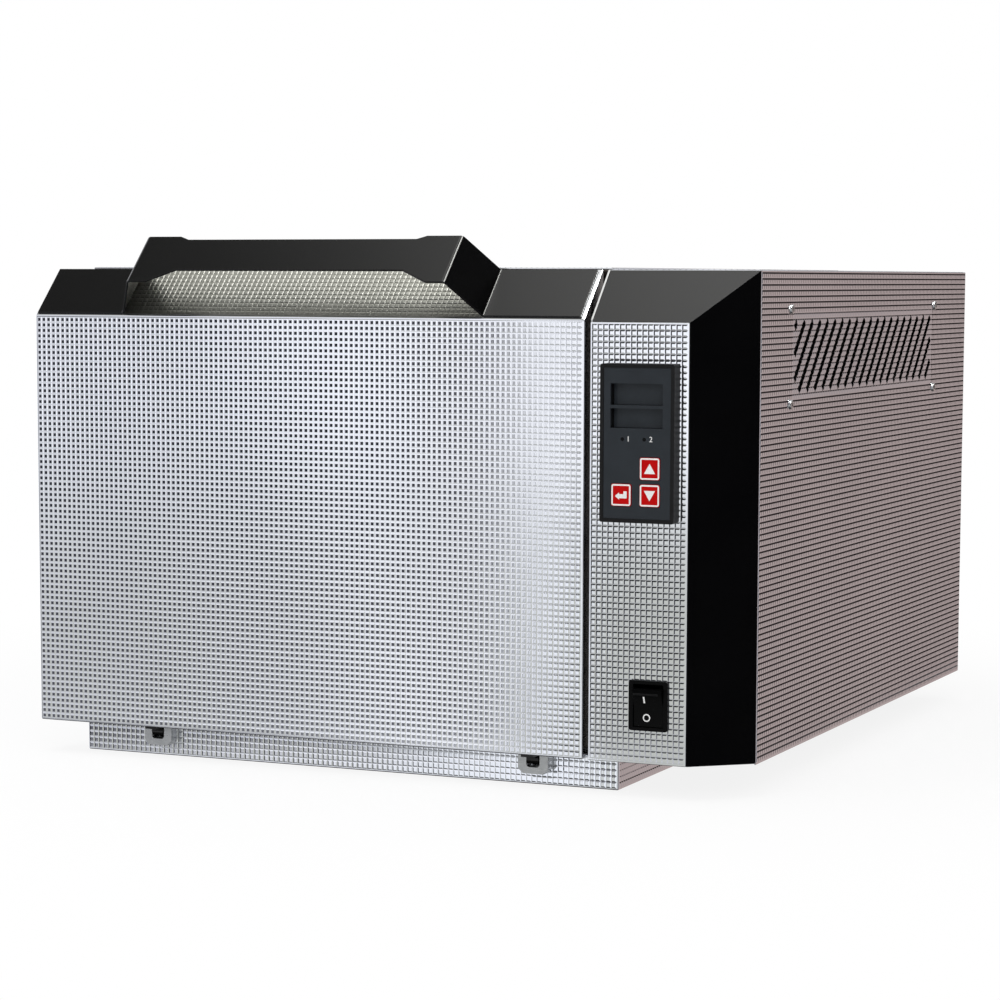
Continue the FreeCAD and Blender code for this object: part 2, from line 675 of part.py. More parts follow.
# Rocker switch: frame with a well, and the rocker on its two stubs
sw_front = y_door - switch_t
pivot_y = sw_front + rocker_sink + rocker_axis
sw_bezel = plate(sw_x0, sw_x1, sw_z0, sw_z1, sw_front, y_door, switch_r)
sw_body = box(sw_cx - switch_body_w / 2, sw_cx + switch_body_w / 2, y_door, y_door + switch_body_d,
              sw_cz - switch_body_h / 2, sw_cz + switch_body_h / 2)
well = box(sw_cx - well_w / 2, sw_cx + well_w / 2, sw_front - 1, y_door + well_d,
           sw_cz - well_h / 2, sw_cz + well_h / 2)
rocker_w = well_w - 2 * fit
stub_span = rocker_w + 2 * stub_len
stub_hole = rod(V(sw_cx - stub_span / 2 - run, pivot_y, sw_cz), AX, stub_r + run, stub_span + 2 * run)
export("switch_frame", joined([sw_bezel, sw_body]).cut(well).cut(stub_hole))
rocker_side = [(-rocker_half, rocker_rise), (0, 0), (rocker_half, rocker_rise),
               (rocker_half, rocker_rise - rocker_thick), (hub_r, -rocker_axis), (-hub_r, -rocker_axis),
               (-rocker_half, rocker_rise - rocker_thick)]
rocker_outline = [(pivot_y - rocker_axis - w, sw_cz + v) for v, w in rocker_side]
rocker = prism_yz(rocker_outline, sw_cx - rocker_w / 2, sw_cx + rocker_w / 2)
hub = rod(V(sw_cx - rocker_w / 2, pivot_y, sw_cz), AX, hub_r, rocker_w)
stub = rod(V(sw_cx - stub_span / 2, pivot_y, sw_cz), AX, stub_r, stub_span)
rocker = joined([rocker, hub, stub])
rocker.rotate(V(sw_cx, pivot_y, sw_cz), AX, rocker_tilt)
export("switch_rocker", rocker)

# Relay on its heat sink, terminal block, inlet and fuse holder
floor_z = z_base + pan_t
sink_x = x_cab + sink_side
sink_y0 = y_door + sink_y
sink = [box(sink_x, sink_x + sink_plate, sink_y0, sink_y0 + sink_d, floor_z, floor_z + sink_h)]
fin_step = (sink_d - sink_fin_t) / (sink_fins - 1)
for i in range(sink_fins):
    y = sink_y0 + i * fin_step
    sink.append(box(sink_x + sink_plate, sink_x + sink_plate + sink_fin, y, y + sink_fin_t,
                    floor_z, floor_z + sink_h))
export("heat_sink", joined(sink))
relay_y0 = sink_y0 + (sink_d - relay_d) / 2
export("relay", box(sink_x - relay_w, sink_x, relay_y0, relay_y0 + relay_d,
                    floor_z + relay_up, floor_z + relay_up + relay_h))
block_x = x_cab + block_side
export("terminal_block", box(block_x, block_x + block_w, y_door + block_y, y_door + block_y + block_d,
                             floor_z, floor_z + block_h))
inlet_body = box(cab_mid - inlet_w / 2, cab_mid + inlet_w / 2, y_rear - inlet_deep, y_rear,
                 inlet_z - inlet_h / 2, inlet_z + inlet_h / 2)
inlet_rim = box(cab_mid - inlet_w / 2 - inlet_flange, cab_mid + inlet_w / 2 + inlet_flange, y_rear,
                y_rear + inlet_flange_t, inlet_z - inlet_h / 2 - inlet_wall, inlet_z + inlet_h / 2 + inlet_wall)
inlet_floor_y = y_rear - inlet_deep + inlet_floor
socket = box(cab_mid - inlet_w / 2 + inlet_wall, cab_mid + inlet_w / 2 - inlet_wall, inlet_floor_y,
             y_rear + inlet_flange_t + 1, inlet_z - inlet_h / 2 + inlet_wall, inlet_z + inlet_h / 2 - inlet_wall)
export("mains_inlet", joined([inlet_body, inlet_rim]).cut(socket))
blades = []
for i in (-1, 0, 1):
    x = cab_mid + i * blade_step
    blades.append(box(x - blade_w / 2, x + blade_w / 2, inlet_floor_y, inlet_floor_y + blade_len,
                      inlet_z - blade_h / 2, inlet_z + blade_h / 2))
export("inlet_blades", Part.makeCompound(blades))
fuse_body = rod(V(cab_mid, y_rear - fuse_deep, fuse_z), AY, fuse_r, fuse_deep)
fuse_cap = rod(V(cab_mid, y_rear, fuse_z), AY, fuse_cap_r, fuse_cap_t)
export("fuse_holder", joined([fuse_body, fuse_cap]))

# Door safety switch behind the front frame, with its plunger through the frame
plunger_y0 = y_bevel + door_pan_t + plunger_gap
body_y0 = y_frame + frame_t
guard_switch = box(plunger_x - guard_switch_w / 2, plunger_x + guard_switch_w / 2, body_y0,
                   body_y0 + guard_switch_d, plunger_z - guard_switch_h / 2, plunger_z + guard_switch_h / 2)
plunger_well = rod(V(plunger_x, body_y0 - 1, plunger_z), AY, plunger_r + run, plunger_deep + plunger_bore + 1)
export("door_switch", guard_switch.cut(plunger_well))
export("door_plunger", rod(V(plunger_x, plunger_y0, plunger_z), AY, plunger_r,
                           body_y0 + plunger_deep - plunger_y0))

# Door skin: front, sloped bevel, bottom and ends in one folded sheet
slope = math.atan2(bevel_h, bevel_d)
rise = math.tan(slope)
wall = sheet / math.cos(slope)
skin_outline = [(y_door, z_base), (y_door, z_fold), (y_bevel, z_top), (y_bevel, z_base)]


def door_core(clear):
    front = y_door + sheet + clear
    low = z_base + sheet + clear
    under = wall + clear / math.cos(slope)
    return [(front, low), (front, z_fold + (front - y_door) * rise - under),
            (y_bevel + 1, z_top + rise - under), (y_bevel + 1, low)]


bevel_n = V(0, -math.sin(slope), math.cos(slope))
bevel_e = V(0, math.cos(slope), math.sin(slope))


def on_bevel(x, u, n):
    # u runs up the bevel from the fold, n stands out of it
    return V(x, y_door, z_fold) + bevel_e * u + bevel_n * n


bevel_len = math.hypot(bevel_d, bevel_h)
strap_x0 = x_door0 + strap_inset
strap_x1 = x_door1 - strap_inset_r
foot_x0 = x_door0 + foot_in
foot_x1 = x_door1 - foot_in_r
grip_x0 = foot_x0 + leg_run
grip_x1 = foot_x1 - leg_run
stud_spots = [strap_x0 + stud_in, foot_x0 - stud_in, foot_x1 + stud_in, strap_x1 - stud_in]
stud_u = bevel_len / 2
stud_holes = [rod(on_bevel(x, stud_u, 1), bevel_n * -1, stud_r + fit, stud_len + 2) for x in stud_spots]
skin_solid = prism_yz(skin_outline, x_door0, x_door1)
skin_core = prism_yz(door_core(0), x_door0 + sheet, x_door1 - sheet)
export("door_skin", skin_solid.cut(skin_core).cut(stud_holes))

# Door back pan, insulation, plug and seal
plug_x0 = x_mid - chamber_w / 2 + plug_clear
plug_x1 = x_mid + chamber_w / 2 - plug_clear
plug_z0 = z_hearth + plug_clear
plug_z1 = z_roof - plug_clear
y_pan = y_bevel + door_pan_t
door_pan = box(x_door0 + door_pan_inset, x_door1 - door_pan_inset, y_bevel, y_pan,
               z_base + door_pan_inset, z_top - door_pan_inset)
pan_open = box(plug_x0 - fit, plug_x1 + fit, y_bevel - 1, y_pan + 1, plug_z0 - fit, plug_z1 + fit)
export("door_pan", door_pan.cut(pan_open))
stud_room = [rod(on_bevel(x, stud_u, 0), bevel_n * -1, nut_r + 2 * fit, stud_len + 2 * fit) for x in stud_spots]
core = prism_yz(door_core(fit), x_door0 + sheet + fit, x_door1 - sheet - fit)
core_trim = box(x_door0, x_door1, y_bevel, y_bevel + 2, z_base, z_top)
export("door_insulation", core.cut(core_trim).cut(stud_room))
export("door_plug", box(plug_x0, plug_x1, y_bevel, y_frame + plug_in, plug_z0, plug_z1))
seal_x0 = x_mid - chamber_w / 2 - seal_in
seal_x1 = x_mid + chamber_w / 2 + seal_in
seal_z0 = z_hearth - seal_in
seal_z1 = z_roof + seal_in
seal = box(seal_x0 - seal_w, seal_x1 + seal_w, y_pan, y_pan + seal_t, seal_z0 - seal_w, seal_z1 + seal_w)
seal_open = box(seal_x0, seal_x1, y_pan - 1, y_pan + seal_t + 1, seal_z0, seal_z1)
export("door_seal", seal.cut(seal_open))

# Strap handle: flat ends on the bevel, two legs and a raised grip
leg_angle = math.atan2(grip_raise, leg_run)
turn_in = strap_t * math.tan(leg_angle / 2)
bend_out = strap_bend + strap_t
grip_top = strap_t + grip_raise
strap_line = [(strap_x0, strap_t, 0), (foot_x0, strap_t, strap_bend), (grip_x0, grip_top, bend_out),
              (grip_x1, grip_top, bend_out), (foot_x1, strap_t, strap_bend), (strap_x1, strap_t, 0),
              (strap_x1, 0, 0), (foot_x1 - turn_in, 0, bend_out), (grip_x1 - turn_in, grip_raise, strap_bend),
              (grip_x0 + turn_in, grip_raise, strap_bend), (foot_x0 + turn_in, 0, bend_out), (strap_x0, 0, 0)]
strap_points = [on_bevel(x, strap_lip, n) for x, n, r in strap_line]
strap_radii = [r for x, n, r in strap_line]
u_end = bevel_len - strap_lip
strap = slab(strap_points, strap_radii, bevel_e * (u_end - strap_lip))


def grip_notch(start, reach, edge, deep, way):
    line = [(grip_x0 + start, edge - way), (grip_x1 - start, edge - way), (grip_x1 - start, edge),
            (grip_x1 - start - reach, edge + way * deep), (grip_x0 + start + reach, edge + way * deep),
            (grip_x0 + start, edge)]
    points = [on_bevel(x, u, grip_raise - 1) for x, u in line]
    return slab(points, [0] * len(points), bevel_n * (strap_t + 2))


low_notch = grip_notch(low_start, low_run, strap_lip, low_depth, 1)
high_notch = grip_notch(high_start, high_run, u_end, high_depth, -1)
export("handle", strap.cut([low_notch, high_notch]))
studs = []
for x in stud_spots:
    shank = rod(on_bevel(x, stud_u, 0), bevel_n * -1, stud_r, stud_len)
    nut = rod(on_bevel(x, stud_u, -sheet), bevel_n * -1, nut_r, nut_t)
    studs.append(joined([shank, nut]))
export("handle_studs", Part.makeCompound(studs))

# Hinges: notched leaves on the plinth, knuckles on the door, pins through both
leaf_y0 = y_door + plinth_recess - leaf_t
hinge_y = leaf_y0 + pin_deep
hinge_z = z_base - swing - knuckle_r
half = leaf_w / 2
slot_half = knuckle_w / 2 + knuckle_gap
leaf_z0 = z_base - leaf_drop
leaf_z1 = z_base - leaf_top
notch_z = hinge_z - knuckle_r - notch_extra
leaves = []
pins = []
knuckles = []
for x in (hinge_left, hinge_right):
    c = leaf_chamfer
    shape = [(x - half, leaf_z1), (x - half, leaf_z0 + c), (x - half + c, leaf_z0), (x + half - c, leaf_z0),
             (x + half, leaf_z0 + c), (x + half, leaf_z1)]
    corners = [V(px, leaf_y0, pz) for px, pz in shape]
    leaf = slab(corners, [0] * len(corners), V(0, leaf_t, 0))
    notch = [V(x - slot_half, y_door, leaf_z1 + 1), V(x - slot_half, y_door, notch_z),
             V(x + slot_half, y_door, notch_z), V(x + slot_half, y_door, leaf_z1 + 1)]
    leaf = leaf.cut(slab(notch, [0, swing * 5, swing * 5, 0], V(0, plinth_recess + 1, 0)))
    leaves.append(leaf.cut(rod(V(x - half - 1, hinge_y, hinge_z), AX, pin_r + run, leaf_w + 2)))
    pins.append(rod(V(x - half, hinge_y, hinge_z), AX, pin_r, leaf_w))
    barrel = rod(V(x - knuckle_w / 2, hinge_y, hinge_z), AX, knuckle_r, knuckle_w)
    arm = box(x - knuckle_w / 2, x + knuckle_w / 2, hinge_y - door_leaf_d, hinge_y,
              z_base - door_leaf_t, z_base)
    knuckle = joined([barrel, arm])
    knuckles.append(knuckle.cut(rod(V(x - half, hinge_y, hinge_z), AX, pin_r + run, leaf_w)))
export("hinge_leaves", Part.makeCompound(leaves))
export("hinge_pins", Part.makeCompound(pins))
export("hinge_knuckles", Part.makeCompound(knuckles))
print("hinge axis", hinge_y, hinge_z, "rocker pivot", pivot_y, sw_cz)
print("body", x_door0, x_right, y_door, y_rear, z_top)
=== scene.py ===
# %% [markdown]
# # A bench-top chamber furnace, dressed in Blender
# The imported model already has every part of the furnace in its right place, in metres.
# This lesson keeps those parts as a fixed frame and gives them what a photograph shows and plain
# solids lack: the studs pressed into the steel, soft edges, printed marks and believable finishes.

# %% Load the frame
import json
import math
import bmesh
import bpy
from mathutils import Matrix, Vector
from mathutils.bvhtree import BVHTree


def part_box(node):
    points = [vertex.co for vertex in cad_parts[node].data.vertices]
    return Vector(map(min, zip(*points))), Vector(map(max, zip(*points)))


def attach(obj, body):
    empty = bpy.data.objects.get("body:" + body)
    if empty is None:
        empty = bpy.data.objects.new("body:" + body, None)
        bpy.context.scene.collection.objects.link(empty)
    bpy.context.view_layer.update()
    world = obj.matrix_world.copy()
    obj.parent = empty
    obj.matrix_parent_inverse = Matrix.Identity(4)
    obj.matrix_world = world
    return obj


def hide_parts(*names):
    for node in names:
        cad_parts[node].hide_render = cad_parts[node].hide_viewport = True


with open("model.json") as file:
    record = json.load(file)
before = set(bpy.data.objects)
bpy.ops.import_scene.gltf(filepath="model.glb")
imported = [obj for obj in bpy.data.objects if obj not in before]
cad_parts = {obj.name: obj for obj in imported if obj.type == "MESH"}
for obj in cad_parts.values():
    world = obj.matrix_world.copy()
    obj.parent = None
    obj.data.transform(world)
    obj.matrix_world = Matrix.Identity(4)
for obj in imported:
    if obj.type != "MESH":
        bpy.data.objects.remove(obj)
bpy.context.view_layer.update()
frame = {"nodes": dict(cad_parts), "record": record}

scene = bpy.context.scene
scene.view_settings.view_transform = "Standard"
MM = 0.001

# %% [markdown]
# ## The camera
# The photograph was taken from the right, a little above the furnace, with a long lens.
# A camera can be aimed with a Track To constraint, but a lens shift and a slight roll are easier to
# keep when the camera's own axes are written straight into its matrix.

# %% Camera at the photograph's viewing angle
CAMERA_PLACE = Vector((0.8424, -1.878, 0.3165))
YAW, PITCH, ROLL = 23.86, 5.95, 0.16                 # degrees
FOCAL_LENGTH, SENSOR_WIDTH = 104.08, 36              # millimetres
SHIFT_UP = 0.08                                      # share of the picture's width
yaw, pitch, roll = (math.radians(angle) for angle in (YAW, PITCH, ROLL))
forward = Vector((-math.sin(yaw) * math.cos(pitch), math.cos(yaw) * math.cos(pitch),
                  -math.sin(pitch)))
level = Vector((math.cos(yaw), math.sin(yaw), 0))
upward = level.cross(forward)
camera_right = level * math.cos(roll) + upward * math.sin(roll)
camera_up = upward * math.cos(roll) - level * math.sin(roll)

lens = bpy.data.cameras.new("photo_camera")
lens.lens = FOCAL_LENGTH
lens.sensor_width = SENSOR_WIDTH
lens.shift_y = SHIFT_UP
camera = bpy.data.objects.new("photo_camera", lens)
turn = Matrix((camera_right, camera_up, -forward)).transposed().to_4x4()
camera.matrix_world = Matrix.Translation(CAMERA_PLACE) @ turn
scene.collection.objects.link(camera)
scene.camera = camera
print("camera", [round(c, 3) for c in camera.location], "lens", round(lens.lens, 1), "mm")

# %% [markdown]
# ## Two helpers for pieces
# Every new piece is built in a bmesh, written to a mesh at its true place, and tied to the body it
# moves with. Doing that in one function keeps the later cells about shape only.
# The second helper turns a bmesh plane, whose cells lie between -0.5 and 0.5, onto a face of the furnace.

# %% Helpers for pieces
def put_piece(name, bm, finish, body, stands_for=()):
    mesh = bpy.data.meshes.new(name)
    bm.to_mesh(mesh)
    bm.free()
    mesh.materials.append(finish)
    piece = bpy.data.objects.new(name, mesh)
    scene.collection.objects.link(piece)
    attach(piece, body)
    if stands_for:
        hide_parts(*stands_for)
    print(f"{name}: {len(mesh.polygons)} faces, rides on {body}")
    return piece


def face_place(corner, across, up, width, height):
    across, up = Vector(across), Vector(up)
    middle = Vector(corner) + across * width / 2 + up * height / 2
    columns = Matrix((across * width, up * height, across.cross(up))).transposed().to_4x4()
    return Matrix.Translation(middle) @ columns

# %% [markdown]
# ## One shared grain
# Real finishes are never one flat colour: steel has a rolled grain, paint has an orange peel, boards have
# fibres. All of them are noise at two sizes, so one node group gives a fine grain and a broad cloud,
# and each finish picks its own sizes and stretch.

# %% The grain group
NOISE_LOW, NOISE_HIGH = 0.3, 0.7      # the noise is spread from this range to the full one
grain_group = bpy.data.node_groups.new("grain", "ShaderNodeTree")
for label, kind, start in (("Vector", "NodeSocketVector", None),
                           ("Stretch", "NodeSocketVector", (1, 1, 1)),
                           ("Fine", "NodeSocketFloat", 900), ("Coarse", "NodeSocketFloat", 9)):
    plug = grain_group.interface.new_socket(label, in_out="INPUT", socket_type=kind)
    if start is not None:
        plug.default_value = start
for label in ("Grain", "Cloud"):
    grain_group.interface.new_socket(label, in_out="OUTPUT", socket_type="NodeSocketFloat")
inside = grain_group.nodes
way_in, way_out = inside.new("NodeGroupInput"), inside.new("NodeGroupOutput")
stretched = inside.new("ShaderNodeMapping")
grain_group.links.new(way_in.outputs["Vector"], stretched.inputs["Vector"])
grain_group.links.new(way_in.outputs["Stretch"], stretched.inputs["Scale"])
for size, result, detail, source in (("Fine", "Grain", 4, stretched.outputs["Vector"]),
                                     ("Coarse", "Cloud", 3, way_in.outputs["Vector"])):
    noise = inside.new("ShaderNodeTexNoise")
    noise.inputs["Detail"].default_value = detail
    spread = inside.new("ShaderNodeMapRange")
    spread.inputs["From Min"].default_value = NOISE_LOW
    spread.inputs["From Max"].default_value = NOISE_HIGH
    grain_group.links.new(source, noise.inputs["Vector"])
    grain_group.links.new(way_in.outputs[size], noise.inputs["Scale"])
    grain_group.links.new(noise.outputs["Fac"], spread.inputs["Value"])
    grain_group.links.new(spread.outputs["Result"], way_out.inputs[result])
print("group", grain_group.name, "outputs", [s.name for s in grain_group.interface.items_tree
                                              if s.in_out == "OUTPUT"])

# %% [markdown]
# ## From grain to finish
# A finish is one Principled BSDF. The cloud moves its colour between two tones, the grain moves its
# roughness between two values, and the grain is also a very low bump. Metal, paint, plastic and ceramic
# board differ only in these numbers.

# %% A finish from a few numbers
def new_finish(name, colour, deep, rough, metal=0.0, fine=900, coarse=9, stretch=(1, 1, 1), bump=0.02,
               specular=0.5):
    finish = bpy.data.materials.new(name)
    finish.use_nodes = True
    tree = finish.node_tree
    shader = tree.nodes["Principled BSDF"]
    shader.inputs["Metallic"].default_value = metal
    shader.inputs["Specular IOR Level"].default_value = specular
    where = tree.nodes.new("ShaderNodeTexCoord")
    grain = tree.nodes.new("ShaderNodeGroup")
    grain.node_tree = grain_group
    grain.inputs["Stretch"].default_value = stretch
    grain.inputs["Fine"].default_value = fine
    grain.inputs["Coarse"].default_value = coarse
    tree.links.new(where.outputs["Object"], grain.inputs["Vector"])
    tone = tree.nodes.new("ShaderNodeMix")
    tone.data_type = "RGBA"
    tone.inputs["A"].default_value = (*deep, 1)
    tone.inputs["B"].default_value = (*colour, 1)
    tree.links.new(grain.outputs["Cloud"], tone.inputs["Factor"])
    tree.links.new(tone.outputs["Result"], shader.inputs["Base Color"])
    gloss = tree.nodes.new("ShaderNodeMapRange")
    gloss.inputs["To Min"].default_value = rough[0]
    gloss.inputs["To Max"].default_value = rough[1]
    tree.links.new(grain.outputs["Grain"], gloss.inputs["Value"])
    tree.links.new(gloss.outputs["Result"], shader.inputs["Roughness"])
    relief = tree.nodes.new("ShaderNodeBump")
    relief.inputs["Distance"].default_value = bump * MM
    tree.links.new(grain.outputs["Grain"], relief.inputs["Height"])
    tree.links.new(relief.outputs["Normal"], shader.inputs["Normal"])
    return finish

# %% [markdown]
# ## The finishes, one for each slot of the record
# The casing is stainless steel, bright where it is studded and satin where it is plain. The trim and the
# handle are black stoving enamel with a satin gloss, and the controller is slate plastic with red keys.
# Inside there are pale fibre boards, ceramic and dark heating rods.

# %% Finishes by slot
ROLLED = (1, 1, 0.08)      # a grain drawn out along Z
FINISHES = {
    "stainless": new_finish("satin_stainless", (0.60, 0.60, 0.60), (0.52, 0.52, 0.52), (0.16, 0.24),
                            metal=1.0, fine=1400, coarse=6, stretch=ROLLED, bump=0.002),
    "plain_steel": new_finish("zinc_plated_steel", (0.55, 0.55, 0.54), (0.43, 0.44, 0.45), (0.3, 0.45),
                              metal=1.0, fine=500, coarse=40, bump=0.004),
    "black_paint": new_finish("black_enamel", (0.0016, 0.0016, 0.0018), (0.001, 0.001, 0.0012), (0.16, 0.22),
                              fine=1500, coarse=20, bump=0.003, specular=0.45),
    "filter": new_finish("black_filter_mesh", (0.006, 0.006, 0.006), (0.003, 0.003, 0.003), (0.8, 1.0),
                         fine=1600, coarse=300, bump=0.4, specular=0.1),
    "screw": new_finish("bright_screw_steel", (0.72, 0.72, 0.71), (0.6, 0.6, 0.6), (0.15, 0.3), metal=1.0,
                        fine=2500, coarse=200, bump=0.004),
    "hot_board": new_finish("hot_face_fibre_board", (0.84, 0.82, 0.76), (0.72, 0.68, 0.6), (0.85, 1.0),
                            fine=1100, coarse=30, bump=0.5),
    "back_board": new_finish("backing_fibre_board", (0.76, 0.73, 0.66), (0.64, 0.6, 0.52), (0.85, 1.0),
                             fine=800, coarse=24, bump=0.5),
    "alumina": new_finish("alumina_tube", (0.86, 0.83, 0.77), (0.76, 0.71, 0.63), (0.45, 0.65),
                          fine=1200, coarse=60, bump=0.05),
    "hearth": new_finish("hearth_ceramic", (0.55, 0.48, 0.4), (0.4, 0.34, 0.28), (0.7, 0.95),
                         fine=700, coarse=22, bump=0.25),
    "element": new_finish("oxidised_heating_rod", (0.12, 0.105, 0.095), (0.06, 0.055, 0.055), (0.55, 0.8),
                          metal=0.4, fine=1500, coarse=90, bump=0.08),
    "brass": new_finish("terminal_brass", (0.7, 0.53, 0.23), (0.56, 0.4, 0.17), (0.25, 0.4), metal=1.0,
                        fine=900, coarse=80, bump=0.01),
    "plated_brass": new_finish("plated_blade", (0.68, 0.67, 0.64), (0.55, 0.54, 0.52), (0.2, 0.35), metal=1.0,
                               fine=900, coarse=120, bump=0.006),
    "aluminium": new_finish("drawn_aluminium", (0.74, 0.75, 0.76), (0.62, 0.63, 0.65), (0.3, 0.45), metal=1.0,
                            fine=900, coarse=20, stretch=(1, 1, 0.03), bump=0.02),
    "black_plastic": new_finish("black_moulded_plastic", (0.006, 0.006, 0.0065), (0.004, 0.004, 0.0045),
                                (0.4, 0.55), fine=2200, coarse=60, bump=0.02, specular=0.25),
    "slate_face": new_finish("slate_front_foil", (0.021, 0.026, 0.032), (0.018, 0.022, 0.027), (0.38, 0.5),
                             fine=2600, coarse=90, bump=0.008, specular=0.25),
    "screen": new_finish("dark_display_window", (0.030, 0.036, 0.043), (0.026, 0.031, 0.037), (0.15, 0.22),
                         fine=1800, coarse=120, bump=0.002, specular=0.15),
    "red_key": new_finish("red_key_foil", (0.50, 0.0005, 0.001), (0.44, 0.0005, 0.0005), (0.3, 0.42),
                          fine=2600, coarse=150, bump=0.008, specular=0.1),
    "switch_black": new_finish("glossy_switch_plastic", (0.002, 0.002, 0.0022), (0.0012, 0.0012, 0.0012),
                               (0.25, 0.35), fine=2200, coarse=80, bump=0.01, specular=0.08),
    "pale_plastic": new_finish("pale_moulded_plastic", (0.72, 0.7, 0.64), (0.64, 0.62, 0.56), (0.4, 0.55),
                               fine=1800, coarse=60, bump=0.02),
    "hinge_steel": new_finish("hinge_steel", (0.62, 0.63, 0.63), (0.5, 0.51, 0.51), (0.25, 0.42), metal=1.0,
                              fine=900, coarse=120, stretch=(0.1, 1, 1), bump=0.01),
    "seal_rope": new_finish("woven_seal_tape", (0.78, 0.76, 0.7), (0.6, 0.58, 0.52), (0.85, 1.0),
                            fine=700, coarse=160, bump=0.4),
}
for entry in frame["record"]["subparts"]:
    skin = frame["nodes"][entry["node"]].data
    skin.materials.clear()
    skin.materials.append(FINISHES[entry["material_slot"]])

# %% [markdown]
# A few looks aren't slots of their own: white print, the lens of an unlit lamp, and three states of the
# stainless sheet. The studded sheet is bright. The bevel under the handle is a rougher copy, and its darker
# colour is painted shade under the handle. The two sheets next to the hot chamber are a dark copy, which is
# painted shade in the gaps round the door.

# %% Finishes beside the slots
white_ink = new_finish("white_print", (0.84, 0.84, 0.83), (0.78, 0.78, 0.77), (0.4, 0.5), fine=2600,
                       coarse=200, bump=0.004)
dark_lamp = new_finish("unlit_lamp_lens", (0.002, 0.002, 0.0025), (0.0015, 0.0015, 0.002), (0.15, 0.25),
                       fine=2600, coarse=300, bump=0.002, specular=0.1)
bright_sheet = new_finish("bright_stainless", (0.885, 0.90, 0.94), (0.815, 0.83, 0.87), (0.035, 0.06),
                          metal=1.0, fine=1400, coarse=6, stretch=ROLLED, bump=0.002)
# painted shade: a darker copy of the studded sheet for the bevel under the handle
bevel_shade_sheet = new_finish("bevel_shaded_stainless", (0.68, 0.68, 0.63), (0.56, 0.56, 0.51), (0.28, 0.36),
                           metal=1.0, fine=1400, coarse=6, bump=0.002)
# painted shade: a dark copy of the sheet for the parts seen through the gaps round the door
gap_shade_sheet = new_finish("gap_shaded_stainless", (0.30, 0.27, 0.25), (0.20, 0.18, 0.165), (0.22, 0.32),
                          metal=1.0, fine=1400, coarse=14, stretch=ROLLED, bump=0.002)
GAP_SHADE_SHEETS = ("front_frame", "door_pan")
for node in GAP_SHADE_SHEETS:
    frame["nodes"][node].data.materials[0] = gap_shade_sheet
print(gap_shade_sheet.name, "on", *GAP_SHADE_SHEETS)

# %% [markdown]
# ## Studded steel
# The casing is folded from stainless sheet with a fine square stud pressed into it, 3.6 mm from one stud to
# the next. Each stud has a flat top and four sloping sides, and the sides are what turns the sheet
# into a glittering grid. A bump map would only fake it, so the studs are real: a grid of cells, each cell
# inset on its own with a small rise. That costs five faces a stud.
# The rim is pulled back into the sheet and filled, so every panel is a closed shell.

# %% The studs
PITCH = 3.6 * MM
STUD_SLOPE = 0.83 * MM     # width of a stud's sloping side
STUD_RISE = 0.16 * MM
LIFT = 0.05 * MM           # the sheet's face in front of the solid's face
SINK = 0.3 * MM            # the shell's back inside the solid
EDGE = 1.2 * MM            # plain margin at a folded edge


def flat_cells(corner, across, up, width, height):
    bm = bmesh.new()
    columns, rows = (max(1, round(length / PITCH)) for length in (width, height))
    bmesh.ops.create_grid(bm, x_segments=columns, y_segments=rows, size=0.5)
    bm.transform(face_place(corner, across, up, width, height))
    return bm


def points_in(geometry):
    return [item for item in geometry if isinstance(item, bmesh.types.BMVert)]


def close_back(bm, outward):
    rim = [edge for edge in bm.edges if edge.is_boundary]
    pulled = bmesh.ops.extrude_edge_only(bm, edges=rim)["geom"]
    bmesh.ops.translate(bm, verts=points_in(pulled), vec=-outward * SINK)
    return [edge for edge in bm.edges if edge.is_boundary]


def press_studs(bm, outward, rise=STUD_RISE, slope=STUD_SLOPE):
    bmesh.ops.translate(bm, verts=bm.verts, vec=outward * LIFT)
    bmesh.ops.inset_individual(bm, faces=bm.faces[:], thickness=slope, depth=rise, use_even_offset=True)
    bmesh.ops.edgeloop_fill(bm, edges=close_back(bm, outward))


def studded_panel(name, body, corner, across, up, width, height, finish=bright_sheet, rise=STUD_RISE):
    outward = Vector(across).cross(Vector(up))
    bm = flat_cells(corner, across, up, width, height)
    press_studs(bm, outward, rise)
    return put_piece(name, bm, finish, body)

# %% [markdown]
# ## Studs on the door
# The door is one sheet: an upright front and, above a fold, a bevel that leans back.
# The height of the fold is read from the solid itself, as the highest point of the front plane, so that the
# panel meets the fold whatever the door's size is.

# %% Door front and door bevel
X, Y, Z = Vector((1, 0, 0)), Vector((0, 1, 0)), Vector((0, 0, 1))
SAME_PLANE = 0.01 * MM
FREE_EDGE = 1.5 * EDGE                               # the margin at the door's right edge is wider
FOOT_LEFT, FOOT_RIGHT = -150.4 * MM, 108.7 * MM      # inner ends of the handle's two flat feet
door_lo, door_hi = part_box("door_skin")
skin_points = [v.co for v in frame["nodes"]["door_skin"].data.vertices]
door_fold = max(p.z for p in skin_points if abs(p.y - door_lo[1]) < SAME_PLANE)
studded_panel("door_front_studs", "door", (door_lo[0] + EDGE, door_lo[1], door_lo[2] + EDGE), X, Z,
              door_hi[0] - door_lo[0] - EDGE - FREE_EDGE, door_fold - door_lo[2] - 2 * EDGE)
bevel_back = min(p.y for p in skin_points if abs(p.z - door_hi[2]) < SAME_PLANE)
bevel_run = Vector((0, bevel_back - door_lo[1], door_hi[2] - door_fold))
bevel_up = bevel_run.normalized()
bevel_corner = Vector((FOOT_LEFT, door_lo[1], door_fold)) + bevel_up * EDGE
studded_panel("door_bevel_studs", "door", bevel_corner, X, bevel_up, FOOT_RIGHT - FOOT_LEFT,
              bevel_run.length - 2 * EDGE, bevel_shade_sheet)

# %% [markdown]
# ## Studs on the casing
# The plinth is a low box of the same sheet, set back under the casing. Its four sides are plain rectangles,
# and each starts at the corner that is on its left when it is seen from outside, so that all studs stand out.

